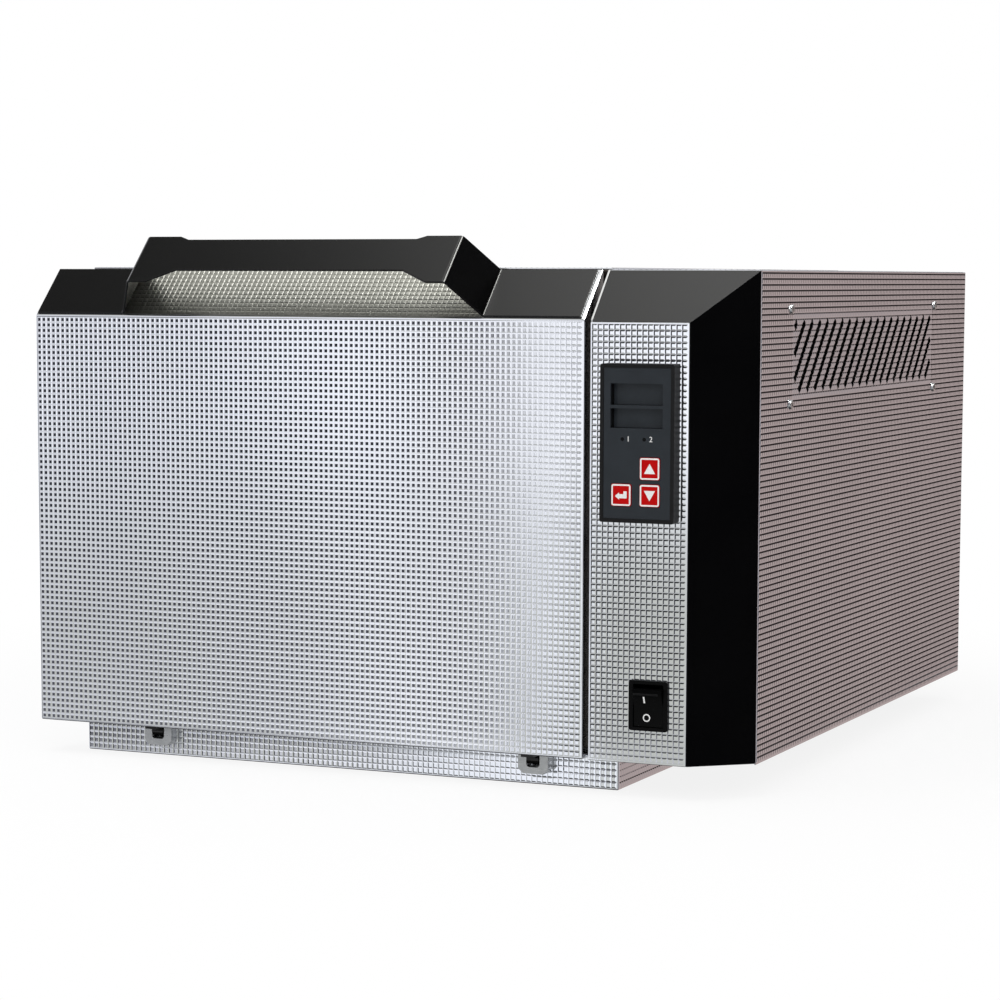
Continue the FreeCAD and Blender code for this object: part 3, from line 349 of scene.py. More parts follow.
# %% Plinth
PLINTH_RISE = 0.25 * MM    # the plinth's sheet is pressed deeper
plinth_lo, plinth_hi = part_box("plinth")
plinth_w, plinth_d, plinth_h = (plinth_hi[i] - plinth_lo[i] - 2 * EDGE for i in range(3))
west, east, south, north = plinth_lo[0], plinth_hi[0], plinth_lo[1], plinth_hi[1]
low = plinth_lo[2] + EDGE
for side, corner, along, length in (("front", (west + EDGE, south, low), X, plinth_w),
                                    ("back", (east - EDGE, north, low), -X, plinth_w),
                                    ("left", (west, north - EDGE, low), -Y, plinth_d),
                                    ("right", (east, south + EDGE, low), Y, plinth_d)):
    studded_panel(f"plinth_{side}_studs", "casing", corner, along, Z, length, plinth_h, rise=PLINTH_RISE)

# %% [markdown]
# The left side is one sheet, and the top is two: the cover of the hot section and the top of the right cover.
# None of them has an opening, so each is a single rectangle of cells.

# %% Left side and top
left_lo, left_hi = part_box("left_panel")
studded_panel("left_side_studs", "casing", (left_lo[0], left_hi[1] - EDGE, left_lo[2] + EDGE), -Y, Z,
              left_hi[1] - left_lo[1] - 2 * EDGE, left_hi[2] - left_lo[2] - 2 * EDGE)
for node, name in (("top_cover", "top_cover_studs"), ("right_cover", "control_top_studs")):
    lo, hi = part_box(node)
    studded_panel(name, "casing", (lo[0] + EDGE, lo[1] + EDGE, hi[2]), X, Y,
                  hi[0] - lo[0] - 2 * EDGE, hi[1] - lo[1] - 2 * EDGE)

# %% [markdown]
# ## The vented right side
# The right cover carries the same studs, but a field of slanted slots is cut through it near the top.
# The side is pressed in two panels: a large one with a window of cells left out, closed by bridging its
# outer rim to the window's rim, and a small one that fills the window and has the slots cut by a Boolean.
# On this side the studs' level edges slope more gently than their upright ones, which draws long level lines.
# So the cells are stretched lengthwise while they are inset, and shrunk back afterwards.

# %% Side panel with a window
SIDE_RISE, SIDE_SLOPE = 0.28 * MM, 1.05 * MM      # this sheet is pressed deeper
WIDEN = Matrix.Diagonal((1, 3, 1, 1))
VENT_FRONT, VENT_DOWN, VENT_LONG, VENT_TALL = 67.3 * MM, 30.0 * MM, 312.0 * MM, 47.2 * MM
cover_lo, cover_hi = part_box("right_cover")
side_corner = Vector((cover_hi[0], cover_lo[1] + EDGE, cover_lo[2] + EDGE))
side_long = cover_hi[1] - cover_lo[1] - 2 * EDGE
side_tall = cover_hi[2] - cover_lo[2] - 2 * EDGE
vent_lo = Vector((cover_hi[0], cover_lo[1] + VENT_FRONT, cover_hi[2] - VENT_DOWN - VENT_TALL))
vent_hi = Vector((cover_hi[0], vent_lo.y + VENT_LONG, vent_lo.z + VENT_TALL))
bm = flat_cells(side_corner, Y, Z, side_long, side_tall)
window = []
for cell in bm.faces:
    spot = cell.calc_center_median()
    if (vent_lo.y - PITCH < spot.y < vent_hi.y + PITCH
            and vent_lo.z - PITCH < spot.z < vent_hi.z + PITCH):
        window.append(cell)
window_points = [v.co.copy() for cell in window for v in cell.verts]
window_lo = Vector((cover_hi[0], min(p.y for p in window_points), min(p.z for p in window_points)))
window_hi = Vector((cover_hi[0], max(p.y for p in window_points), max(p.z for p in window_points)))
bmesh.ops.delete(bm, geom=window, context="FACES")
bmesh.ops.translate(bm, verts=bm.verts, vec=X * LIFT)
bm.transform(WIDEN)
bmesh.ops.inset_individual(bm, faces=bm.faces[:], thickness=SIDE_SLOPE, depth=SIDE_RISE,
                           use_even_offset=True)
bm.transform(WIDEN.inverted())
bmesh.ops.bridge_loops(bm, edges=close_back(bm, X))
put_piece("right_side_studs", bm, bright_sheet, "casing")

# %% [markdown]
# Slots and cut-outs run through the middle of studs, so leaving out cells can't make them. A Boolean modifier
# can. It works on objects, so both shapes are objects for a moment, and the result comes back as a bmesh.

# %% A Boolean cut
def carve(bm, cutter):
    pair = []
    for label, shape in (("carved", bm), ("cutter", cutter)):
        mesh = bpy.data.meshes.new(label)
        shape.to_mesh(mesh)
        shape.free()
        pair.append(bpy.data.objects.new(label, mesh))
        scene.collection.objects.link(pair[-1])
    cut = pair[0].modifiers.new("cut", "BOOLEAN")
    cut.operation, cut.solver, cut.object = "DIFFERENCE", "EXACT", pair[1]
    bpy.context.view_layer.update()
    result = bpy.data.meshes.new_from_object(pair[0].evaluated_get(bpy.context.evaluated_depsgraph_get()))
    carved = bmesh.new()
    carved.from_mesh(result)
    for mesh in [result] + [item.data for item in pair]:
        bpy.data.meshes.remove(mesh)
    return carved

# %% [markdown]
# The slots lean back by 45 degrees. Each cutter is a cube stretched to a bar, turned and moved into place;
# where a slot would run out of the field it is made shorter.

# %% Vent panel with its slots
SLOT_WIDE, SLOT_STEP, SLOT_TAIL, LEAN = 5.0 * MM, 16.2 * MM, 4.3 * MM, math.radians(45)
SLOT_DEEP = 3 * MM                               # the cutter's depth, more than the panel's
VENT_RISE, VENT_SLOPE = 0.34 * MM, 0.95 * MM     # punching has raised the studs between the slots
cutter = bmesh.new()
cap = SLOT_WIDE / 2 * math.cos(LEAN)
top_line, low_line = vent_hi.z - cap, vent_lo.z + cap
slot_y = vent_lo.y + cap
while slot_y < vent_hi.y + VENT_TALL:
    high = top_line - max(0, slot_y - (vent_hi.y - cap))
    low = max(low_line, top_line - (slot_y - (vent_lo.y + cap)) - SLOT_TAIL)
    length = (high - low) / math.cos(LEAN)
    if length > SLOT_TAIL / 2:
        middle_z = (high + low) / 2
        place = Matrix.Translation((cover_hi[0], slot_y + middle_z - top_line, middle_z))
        shape = Matrix.Rotation(-LEAN, 4, "X") @ Matrix.Diagonal((SLOT_DEEP, SLOT_WIDE, length, 1))
        bmesh.ops.create_cube(cutter, size=1, matrix=place @ shape)
    slot_y += SLOT_STEP
bm = flat_cells(window_lo, Y, Z, window_hi.y - window_lo.y, window_hi.z - window_lo.z)
press_studs(bm, X, VENT_RISE, VENT_SLOPE)
vent_field = put_piece("vent_field_studs", carve(bm, cutter), bright_sheet, "casing")

# %% [markdown]
# The fascia has two cut-outs, for the controller and for the switch. Its panel gets two holes, again by a
# Boolean, with cutters a little smaller than the bezels that hide the edges of the holes.

# %% Fascia panel with its cut-outs
FASCIA_RISE, FASCIA_SLOPE = 0.13 * MM, 0.85 * MM      # a flatter pressing
fascia_lo, fascia_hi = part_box("fascia")
HOLES = {"controller_case": 1.8 * MM, "switch_frame": 1.4 * MM}      # bezel's overlap round each hole
HOLE_DEEP = 6 * MM
bm = flat_cells((fascia_lo[0] + EDGE, fascia_lo[1], fascia_lo[2] + EDGE), X, Z,
                fascia_hi[0] - fascia_lo[0] - 2 * EDGE, fascia_hi[2] - fascia_lo[2] - 2 * EDGE)
press_studs(bm, -Y, FASCIA_RISE, FASCIA_SLOPE)
cutter = bmesh.new()
for node, lap in HOLES.items():
    lo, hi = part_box(node)
    middle = Vector(((lo[0] + hi[0]) / 2, fascia_lo[1], (lo[2] + hi[2]) / 2))
    size = (hi[0] - lo[0] - 2 * lap, HOLE_DEEP, hi[2] - lo[2] - 2 * lap, 1)
    bmesh.ops.create_cube(cutter, size=1, matrix=Matrix.Translation(middle) @ Matrix.Diagonal(size))
put_piece("fascia_studs", carve(bm, cutter), bright_sheet, "casing")

# %% [markdown]
# ## Soft edges
# The enamelled strap and trim, the moulded bezel and the keys have small radii that catch a line of light.
# A copy of the solid is merged, its flat triangles are dissolved into whole faces, and every sharp edge
# gets a small bevel. The Weighted Normal modifier then keeps the large faces flat in shading.

# %% Softened copies of solids
MERGE = 0.002 * MM
FLAT, SHARP = math.radians(1), math.radians(25)


def whole_faces(node):
    bm = bmesh.new()
    bm.from_mesh(frame["nodes"][node].data)
    bmesh.ops.remove_doubles(bm, verts=bm.verts, dist=MERGE)
    bmesh.ops.dissolve_limit(bm, angle_limit=FLAT, verts=bm.verts, edges=bm.edges)
    return bm


def softened(node, name, radius, body, slot, finish=None, segments=3, broad=0):
    bm = whole_faces(node)
    edges = [e for e in bm.edges if len(e.link_faces) == 2 and e.calc_face_angle() > SHARP]
    if broad:
        edges = [e for e in edges if e.is_convex and min(f.calc_area() for f in e.link_faces) > broad]
    bmesh.ops.bevel(bm, geom=edges, offset=radius, offset_type="OFFSET", segments=segments, profile=0.5,
                    affect="EDGES", clamp_overlap=True, material=-1)
    for face in bm.faces:
        face.smooth = True
    piece = put_piece(name, bm, finish or FINISHES[slot], body, stands_for=(node,))
    steady = piece.modifiers.new("flat_faces", "WEIGHTED_NORMAL")
    steady.weight = 100
    return piece

# %% [markdown]
# The radius is a property of how a part is made: sheet and enamel have about half a millimetre, moulded keys
# less.

# %% Parts with soft edges
SOFT_EDGES = [      # node, piece, radius in millimetres, body, slot
    ("handle", "handle_strap", 0.55, "door", "black_paint"),
    ("bevel_trim", "fascia_trim", 0.6, "casing", "black_paint"),
    ("controller_case", "controller_bezel", 0.5, "casing", "black_plastic"),
    ("switch_frame", "switch_bezel", 0.6, "casing", "switch_black"),
    ("switch_rocker", "rocker_cap", 0.5, "rocker", "switch_black"),
    ("key_up", "key_up_cap", 0.25, "key_up", "red_key"),
    ("key_down", "key_down_cap", 0.25, "key_down", "red_key"),
    ("key_return", "key_return_cap", 0.25, "key_return", "red_key"),
    ("hinge_leaves", "hinge_plates", 0.4, "casing", "hinge_steel"),
]
SHEET_EDGE = 0.5 * MM
for node, name, radius, body, slot in SOFT_EDGES:
    softened(node, name, radius * MM, body, slot)
for node, name in (("fascia", "fascia_sheet"), ("top_cover", "top_sheet")):
    softened(node, name, SHEET_EDGE, "casing", "stainless", bright_sheet)

# %% [markdown]
# The large folded sheets have rounded folds. Only an outward edge between two broad faces is a fold, so small
# edges, such as those of slots and cut rims, are left as they are.
# The door's rim looks back into the gap, so its faces take the dark finish of the pan beside it, painted
# shade in the gap.

# %% Rounded folds of the sheets
FOLD = 1.0 * MM
BROAD, BROAD_SIDE = 0.0015, 0.0003      # square metres
LOOKS_BACK = 0.9                        # least y of a rim face's normal
door_sheet = softened("door_skin", "door_sheet", FOLD, "door", "stainless", bright_sheet, broad=BROAD)
door_sheet.data.materials.append(gap_shade_sheet)
# painted shade: the door's back-facing rim faces take the dark gap finish
for face in door_sheet.data.polygons:
    face.material_index = int(face.normal.y > LOOKS_BACK)
softened("plinth", "plinth_sheet", FOLD, "casing", "stainless", bright_sheet, broad=BROAD)
right_sheet = softened("right_cover", "right_sheet", FOLD / 2, "casing", "stainless", bright_sheet,
                       broad=BROAD_SIDE)

# %% [markdown]
# Seen from the front the slots are black, because their cut walls only see the filter behind them. The
# walls are the faces inside the field that don't look outward, and the steel of these walls gets the filter's
# black finish: painted shade and reflection.

# %% Dark slot walls
SIDEWAYS = 0.2      # a wall's normal has less x than this
# painted shade: the steel walls of the slots take the black filter finish
for piece in (vent_field, right_sheet):
    piece.data.materials.append(FINISHES["filter"])
    walls = [f for f in piece.data.polygons
             if abs(f.normal.x) < SIDEWAYS and vent_lo.y - MM < f.center.y < vent_hi.y + MM
             and vent_lo.z - MM < f.center.z < vent_hi.z + MM]
    for wall in walls:
        wall.material_index = 1
    print(piece.name, len(walls), "slot walls")

# %% [markdown]
# The screws of the cover and of the back get a cross recess: two crossed bars are cut into every head, one
# bar at a time. The flat top of a head is a broad face that looks outward, as far out as the node reaches.

# %% Screws with a cross recess
BARS = (3.4, 0.8, 1.6), (0.8, 3.4, 1.6)      # millimetres
HEAD_AREA, HEAD_LEVEL = 2 * MM * MM, 0.005 * MM
LOOKS_OUT = 0.99


def crossed(node, name, outward, across):
    bm = whole_faces(node)
    reach = max(v.co.dot(outward) for v in bm.verts)
    tops = [f for f in bm.faces if f.calc_area() > HEAD_AREA and f.normal.dot(outward) > LOOKS_OUT]
    heads = [f.calc_center_median() for f in tops]
    heads = [spot for spot in heads if spot.dot(outward) > reach - HEAD_LEVEL]
    axes = Matrix((across, outward.cross(across), outward)).transposed().to_4x4()
    for bar in BARS:
        cutter = bmesh.new()
        shape = Matrix.Diagonal((*(length * MM for length in bar), 1))
        for spot in heads:
            bmesh.ops.create_cube(cutter, size=1, matrix=Matrix.Translation(spot) @ axes @ shape)
        bm = carve(bm, cutter)
    put_piece(name, bm, FINISHES["screw"], "casing", stands_for=(node,))
    print(name, len(heads), "heads")


crossed("vent_screws", "cover_screws", X, (Y + Z).normalized())
crossed("case_screws", "back_screws", Y, (X + Z).normalized())

# %% [markdown]
# Two pieces are soft in the real furnace: the woven tape that seals the door and the filter behind the vents.
# Their solids only keep the place, so each is made again with full rounded edges and a fibrous finish.

# %% Seal tape and vent filter
SEAL_EDGE, FILTER_EDGE = 1.4 * MM, 0.9 * MM
softened("door_seal", "seal_tape", SEAL_EDGE, "door", "seal_rope", segments=4)
softened("vent_filter", "filter_mat", FILTER_EDGE, "casing", "filter")

# %% [markdown]
# ## Printed marks
# A printed mark is a flat face, drawn in x and y as seen from the front, raised by the thickness of the ink
# and laid on the surface that carries it. A rim or a ring is a face inset once, with its middle taken out.

# %% Helpers for printed marks
PRINT = 0.04 * MM
front_turn = Matrix((X, Z, -Y)).transposed().to_4x4()


def front_place(x, y, z):
    return Matrix.Translation((x, y, z)) @ front_turn


def flat_bar(width, height):
    bm = bmesh.new()
    bmesh.ops.create_grid(bm, x_segments=1, y_segments=1, size=0.5)
    bmesh.ops.scale(bm, verts=bm.verts, vec=(width, height, 1))
    return bm


def flat_disc(radius, segments):
    bm = bmesh.new()
    bmesh.ops.create_circle(bm, cap_ends=True, segments=segments, radius=radius)
    return bm


def open_middle(bm, wide):
    bmesh.ops.inset_region(bm, faces=bm.faces[:], thickness=wide, use_boundary=True, use_even_offset=True)
    inner = min(bm.faces, key=lambda face: face.calc_center_median().length)
    bmesh.ops.delete(bm, geom=[inner], context="FACES")


def print_mark(name, bm, place, body, finish=white_ink):
    lifted = bmesh.ops.extrude_face_region(bm, geom=bm.faces[:])["geom"]
    bmesh.ops.translate(bm, verts=points_in(lifted), vec=(0, 0, PRINT))
    bmesh.ops.recalc_face_normals(bm, faces=bm.faces)
    bm.transform(place)
    put_piece(name, bm, finish, body)

# %% [markdown]
# Each red key has a white rounded rim and a white sign: up, down, or a bent return arrow. The rim starts as
# one square face with its corners bevelled. Both marks sit on the key and go down with it.

# %% Rims and signs of the keys
RIM_GAP, RIM_CORNER, RIM_WIDE = 0.25 * MM, 1.3 * MM, 0.95 * MM
SIGNS = {      # corners in millimetres
    "key_up": [(-3.6, -3.0), (3.6, -3.0), (0, 3.2)],
    "key_down": [(-3.6, 3.0), (0, -3.2), (3.6, 3.0)],
    "key_return": [(-3.9, -0.7), (-1.2, -2.9), (-1.2, -2.0), (3.7, -2.0), (3.7, 2.3), (1.6, 2.3), (1.6, 0.5),
                   (-1.2, 0.5), (-1.2, 1.5)],
}


def outline(points):
    bm = bmesh.new()
    bm.faces.new([bm.verts.new((x * MM, y * MM, 0)) for x, y in points])
    return bm


for key, sign in SIGNS.items():
    lo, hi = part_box(key)
    place = front_place((lo[0] + hi[0]) / 2, lo[1], (lo[2] + hi[2]) / 2)
    bm = flat_bar(hi[0] - lo[0] - 2 * RIM_GAP, hi[2] - lo[2] - 2 * RIM_GAP)
    bmesh.ops.bevel(bm, geom=bm.verts[:], offset=RIM_CORNER, offset_type="OFFSET", segments=4, profile=0.5,
                    affect="VERTICES", material=-1)
    open_middle(bm, RIM_WIDE)
    print_mark(key + "_rim", bm, place, key)
    print_mark(key + "_sign", outline(sign), place, key)

# %% [markdown]
# Below the two windows there are two unlit lamps, each with its number. The numbers are text made into
# a mesh before they are placed, so their place is in the mesh like any other piece's.

# %% Lamps and their numbers
LAMP_ROW, LAMP_RADIUS, NUMBER_SIZE = 45.4 * MM, 1.15 * MM, 4.6 * MM
LAMP_ROW_PLACES = {"1": (14.65, 18.4), "2": (28.75, 33.0)}      # lamp and number, millimetres from the left
bezel_lo, bezel_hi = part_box("controller_case")
face_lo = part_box("controller_face")[0]


def number_mesh(text, size):
    letters = bpy.data.curves.new("number", "FONT")
    letters.body, letters.size, letters.align_x, letters.align_y = text, size, "CENTER", "CENTER"
    holder = bpy.data.objects.new("number", letters)
    scene.collection.objects.link(holder)
    bpy.context.view_layer.update()
    flat = bpy.data.meshes.new_from_object(holder.evaluated_get(bpy.context.evaluated_depsgraph_get()))
    bm = bmesh.new()
    bm.from_mesh(flat)
    bpy.data.objects.remove(holder)
    bpy.data.meshes.remove(flat)
    bmesh.ops.remove_doubles(bm, verts=bm.verts, dist=MERGE / 2)
    return bm


for text, spots in LAMP_ROW_PLACES.items():
    lamp_place, text_place = (front_place(bezel_lo[0] + x * MM, face_lo[1], bezel_hi[2] - LAMP_ROW)
                              for x in spots)
    print_mark("lamp_" + text, flat_disc(LAMP_RADIUS, 20), lamp_place, "casing", dark_lamp)
    print_mark("number_" + text, number_mesh(text, NUMBER_SIZE), text_place, "casing")

# %% [markdown]
# The rocker has the usual I and O, and a moulded ridge above the I. Its two faces lean, so each place is
# found by casting a ray at the solid, and the mark is laid on the face that the ray meets.

# %% Marks of the rocker
ON_SPOT, OFF_SPOT, RIDGE_SPOT = (217.4, 61.5), (218.5, 50.3), (218.9, 65.0)      # x and z in millimetres
ON_WIDE, ON_TALL = 1.0 * MM, 4.4 * MM
OFF_RADIUS, OFF_WIDE = 2.4 * MM, 0.7 * MM
RIDGE_SIZE, RIDGE_EDGE = (16.5 * MM, 1.4 * MM, 0.8 * MM), 0.3 * MM
bm = bmesh.new()
bm.from_mesh(frame["nodes"]["switch_rocker"].data)
rocker_tree = BVHTree.FromBMesh(bm)
bm.free()


def rocker_place(x, z):
    spot, normal = rocker_tree.ray_cast(Vector((x * MM, -1, z * MM)), Y)[:2]
    across = (X - normal * X.dot(normal)).normalized()
    axes = Matrix((across, normal.cross(across), normal)).transposed().to_4x4()
    return Matrix.Translation(spot) @ axes


print_mark("mark_on", flat_bar(ON_WIDE, ON_TALL), rocker_place(*ON_SPOT), "rocker")
bm = flat_disc(OFF_RADIUS, 32)
open_middle(bm, OFF_WIDE)
print_mark("mark_off", bm, rocker_place(*OFF_SPOT), "rocker")
bm = bmesh.new()
bmesh.ops.create_cube(bm, size=1)
bmesh.ops.scale(bm, verts=bm.verts, vec=RIDGE_SIZE)
bmesh.ops.bevel(bm, geom=bm.edges[:], offset=RIDGE_EDGE, offset_type="OFFSET", segments=2, profile=0.5,
                affect="EDGES", material=-1)
bm.transform(rocker_place(*RIDGE_SPOT))
put_piece("rocker_ridge", bm, FINISHES["black_plastic"], "rocker")

# %% [markdown]
# ## Helpers for node trees
# The floor and the studio are built from the same few nodes: sums and products, soft ramps, a mix of two
# shaders by a factor, and a test for rays that come from a mirror or through glass. One small function for
# each keeps the next cells short.

# %% Helpers for node trees
def math_node(tree, operation, *terms):
    node = tree.nodes.new("ShaderNodeMath")
    node.operation = operation
    for place, term in enumerate(terms):
        if isinstance(term, (int, float)):
            node.inputs[place].default_value = term
        else:
            tree.links.new(term, node.inputs[place])
    return node.outputs["Value"]


def soft_ramp(tree, value, start, stop, low=0.0, high=1.0):
    node = tree.nodes.new("ShaderNodeMapRange")
    node.interpolation_type = "SMOOTHSTEP"
    for label, number in (("From Min", start), ("From Max", stop), ("To Min", low), ("To Max", high)):
        node.inputs[label].default_value = number
    tree.links.new(value, node.inputs["Value"])
    return node.outputs["Result"]


def mix_shaders(tree, factor, first, second):
    node = tree.nodes.new("ShaderNodeMixShader")
    for place, source in enumerate((factor, first.outputs[0], second.outputs[0])):
        tree.links.new(source, node.inputs[place])
    return node


def shiny_rays(tree, paths):
    return math_node(tree, "MAXIMUM", paths.outputs["Is Glossy Ray"], paths.outputs["Is Transmission Ray"])

# %% [markdown]
# ## The floor
# A plain pale floor. The camera, glossy and transmitted rays see its finish as white, mixed with a share of
# plain diffuse shading near the furnace, so that the furnace keeps its shadow; further out only the white is
# left and the floor's edge can't be seen. Diffuse light sees a matt floor.

# %% Floor finish
SHADOW_SHARE, SHADOW_NEAR, SHADOW_FAR = 0.14, 0.35, 0.8      # the share fades out between two radii in metres
floor_finish = bpy.data.materials.new("pale_floor")
floor_finish.use_nodes = True
tree = floor_finish.node_tree
tree.nodes.clear()
where = tree.nodes.new("ShaderNodeTexCoord")
reach = tree.nodes.new("ShaderNodeVectorMath")
reach.operation = "LENGTH"
tree.links.new(where.outputs["Object"], reach.inputs[0])
share = soft_ramp(tree, reach.outputs["Value"], SHADOW_NEAR, SHADOW_FAR, SHADOW_SHARE, 0.0)
white = tree.nodes.new("ShaderNodeEmission")
matt = tree.nodes.new("ShaderNodeBsdfDiffuse")
matt.inputs["Color"].default_value = (0.95, 0.95, 0.95, 1)
paths = tree.nodes.new("ShaderNodeLightPath")
seen = math_node(tree, "MAXIMUM", paths.outputs["Is Camera Ray"], shiny_rays(tree, paths))
shaded = mix_shaders(tree, share, white, matt)
choice = mix_shaders(tree, seen, matt, shaded)
out = tree.nodes.new("ShaderNodeOutputMaterial")
tree.links.new(choice.outputs[0], out.inputs["Surface"])
print(floor_finish.name, "has", len(tree.nodes), "nodes")

# %% [markdown]
# The floor is one round face; it isn't part of the furnace. It is hidden from glossy
# rays: the steel takes its reflections from the cards of the next step.

# %% Floor disc
FLOOR_RADIUS = 0.85
bm = flat_disc(FLOOR_RADIUS, 128)
floor_mesh = bpy.data.meshes.new("floor")
bm.to_mesh(floor_mesh)
bm.free()
floor_mesh.materials.append(floor_finish)
floor = bpy.data.objects.new("floor", floor_mesh)
scene.collection.objects.link(floor)
floor.visible_glossy = False
print("floor radius", FLOOR_RADIUS, "m")

# %% [markdown]
# ## The studio
# Studded metal is nothing but its reflections, so the studio round it matters more than the lamps. The world
# is painted with soft-edged cards, as a photographer stands white boards and black flags round shiny goods.
# A card is a range of directions. Azimuth 0 is straight out of the furnace's front and grows towards -X, the
# left side as seen from the front.

# %% Directions in degrees
DEGREES = 180 / math.pi
world = bpy.data.worlds.new("studio")
world.use_nodes = True
scene.world = world
tree = world.node_tree
tree.nodes.clear()
direction = tree.nodes.new("ShaderNodeTexCoord")
parts = tree.nodes.new("ShaderNodeSeparateXYZ")
tree.links.new(direction.outputs["Generated"], parts.inputs["Vector"])
to_left, to_front = (math_node(tree, "MULTIPLY", parts.outputs[axis], -1) for axis in "XY")
azimuth = math_node(tree, "MULTIPLY", math_node(tree, "ARCTAN2", to_left, to_front), DEGREES)
elevation = math_node(tree, "MULTIPLY", math_node(tree, "ARCSINE", parts.outputs["Z"]), DEGREES)
print(world.name, "has", len(tree.nodes), "nodes for directions")

# %% [markdown]
# Every edge of a card is a place in degrees and its softness. The order is azimuth from and to, elevation
# from and to, then the colour. A later card covers the earlier ones.

# %% The cards
ALL_ROUND = (-200, 1), (200, 1)
BEHIND = ((-181, 0.1), (-125, 3)), ((150, 3), (181, 0.1))      # both sides of the seam at 180 degrees
CARDS = [
    (*ALL_ROUND, (38, 4), (95, 1), (0.40, 0.40, 0.37)),                      # dim ring high up
    (*ALL_ROUND, (63, 7), (95, 1), (1.0, 1.0, 0.97)),                        # overhead soft box
    ((55, 5), (105, 5), (38, 4), (68, 4), (0.15, 0.15, 0.145)),              # dim ceiling on the left
    ((55, 5), (105, 5), (66.7, 6.5), (95, 1), (2.4, 2.4, 2.36)),             # bright ceiling over it
    ((-115, 4), (-62, 4), (67, 2), (80, 2), (24, 24, 23)),                   # strip lamp high on the right
    ((-135, 3), (-60, 3), (20, 3), (54, 2), (0.02, 0.02, 0.02)),             # dark under the strip lamp
    ((31, 2), (80, 5), (-35, 3), (36, 3), (0.71, 0.72, 0.76)),               # shaded room on the left
    ((31, 2), (80, 5), (-40, 3), (-23, 4), (0.58, 0.59, 0.60)),              # shaded floor under it
    ((-30, 1.5), (28, 1.5), (-37, 2), (-12, 1.5), (0.52, 0.53, 0.52)),       # shaded floor in front
    ((-30, 1.5), (26, 1.5), (-12, 1.5), (13, 1.5), (1.08, 1.09, 1.12)),      # front board
    ((-30, 1.5), (26, 1.5), (-12, 1.5), (-4.5, 2.5), (1.00, 1.03, 1.08)),    # its lower part
    ((-8, 2), (22, 0.3), (-12, 1.5), (-4.5, 2.5), (0.57, 0.58, 0.54)),       # more shade towards the right
    ((43.9, 0.5), (49, 2.5), (-20, 3), (6, 3), (0.90, 0.91, 0.95)),          # lighter strip beside the flags
    ((49, 2.5), (60, 2), (-14, 1), (-4, 3), (0.56, 0.57, 0.57)),             # shaded ground on the left
    ((23.5, 0.8), (43.9, 0.3), (-9.3, 0.3), (6, 1), (0.10, 0.10, 0.115)),    # grey flag beside the board
    ((25.2, 1.5), (43.9, 0.3), (-6.5, 2.5), (6, 1), (0.03, 0.03, 0.04)),     # black flag on the grey one
    ((-30, 1.5), (23.4, 0.9), (5.5, 2), (24, 1.5), (0.02, 0.02, 0.02)),      # black flag above the board
    ((-45, 3), (-15, 3), (40, 3), (53, 3), (10, 10, 10)),                    # small lamp high on the right
    ((58.5, 1), (75, 2), (-14, 1), (-5, 1), (0.03, 0.03, 0.035)),            # dark strip low on the left
    (*ALL_ROUND, (-95, 1), (-38, 3), (0.05, 0.05, 0.05)),                    # dark ground close by
    ((-92, 3), (-32, 5), (-30, 5), (40, 5), (0.01, 0.01, 0.014)),            # dark right front
    ((-135, 3), (-95, 3), (-40, 3), (16, 3), (0.33, 0.29, 0.29)),            # grey wall on the right
]
for sides in BEHIND:
    CARDS += [
        (*sides, (-40, 3), (0.5, 0.3), (0.44, 0.358, 0.342)),                # warm table top behind
        (*sides, (0.5, 0.3), (14, 2), (0.03, 0.024, 0.023)),                 # dark wall over it
    ]
print(len(CARDS), "cards")

# %% [markdown]
# A card's mask is the product of its two ranges, and each range rises at one edge and falls at the other.
# The first card is mixed over a cool white sky, and every other card over what the cards before it made.

# %% Cards mixed into one colour
OPEN_SKY = (1.0, 1.01, 1.05, 1)


def rise(value, at, soft):
    return soft_ramp(tree, value, at - soft, at + soft)


def between(value, start, stop):
    fall = math_node(tree, "SUBTRACT", 1, rise(value, *stop))
    return math_node(tree, "MULTIPLY", rise(value, *start), fall)


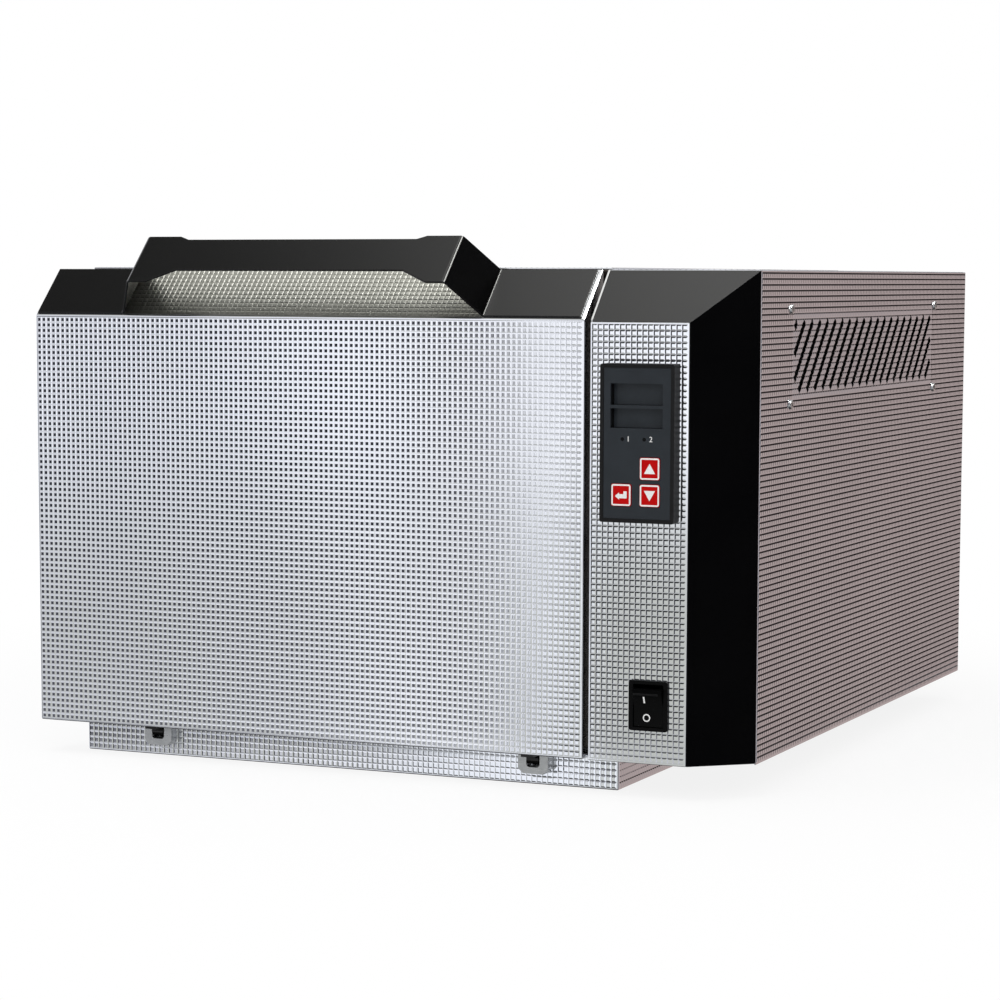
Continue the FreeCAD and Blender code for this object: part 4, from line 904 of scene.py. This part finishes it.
colour = None
for az0, az1, el0, el1, shade in CARDS:
    mask = math_node(tree, "MULTIPLY", between(azimuth, az0, az1), between(elevation, el0, el1))
    mix = tree.nodes.new("ShaderNodeMix")
    mix.data_type = "RGBA"
    mix.inputs["A"].default_value = OPEN_SKY
    mix.inputs["B"].default_value = (*shade, 1)
    if colour is not None:
        tree.links.new(colour, mix.inputs["A"])
    tree.links.new(mask, mix.inputs["Factor"])
    colour = mix.outputs["Result"]
print(world.name, "has", len(tree.nodes), "nodes")

# %% [markdown]
# Only glossy and transmitted rays see the cards; the camera sees plain white, and diffuse light is even.

# %% What each kind of ray sees
EVEN_LIGHT = 0.7
cards, even, plain = (tree.nodes.new("ShaderNodeBackground") for _ in range(3))
tree.links.new(colour, cards.inputs["Color"])
for node, strength in ((even, EVEN_LIGHT), (plain, 1.0)):
    node.inputs["Color"].default_value = (1, 1, 1, 1)
    node.inputs["Strength"].default_value = strength
paths = tree.nodes.new("ShaderNodeLightPath")
lit = mix_shaders(tree, shiny_rays(tree, paths), even, cards)
choice = mix_shaders(tree, paths.outputs["Is Camera Ray"], lit, plain)
out = tree.nodes.new("ShaderNodeOutputWorld")
tree.links.new(choice.outputs[0], out.inputs["Surface"])
print("studio with", len(CARDS), "cards, even light", EVEN_LIGHT)

# %% [markdown]
# ## Lamps
# Two large soft lamps give the diffuse surfaces a direction of light and the floor its shadow. They stay
# out of the reflections, which belong to the cards.

# %% Soft lamps
LAMPS = {      # place, aim, size in metres, power in watts
    "overhead_lamp": ((-0.5, -0.8, 2.6), (0, 0, 0.1), 2.2, 22),
    "front_lamp": ((1.6, -2.6, 1.8), (0, 0, 0.15), 1.6, 18),
}
for name, (place, aim, size, power) in LAMPS.items():
    data = bpy.data.lights.new(name, "AREA")
    data.shape, data.size, data.energy = "DISK", size, power
    lamp = bpy.data.objects.new(name, data)
    aimed = (Vector(aim) - Vector(place)).to_track_quat("-Z", "Y")
    lamp.matrix_world = Matrix.Translation(place) @ aimed.to_matrix().to_4x4()
    lamp.visible_glossy = False
    scene.collection.objects.link(lamp)
print(len(LAMPS), "lamps")
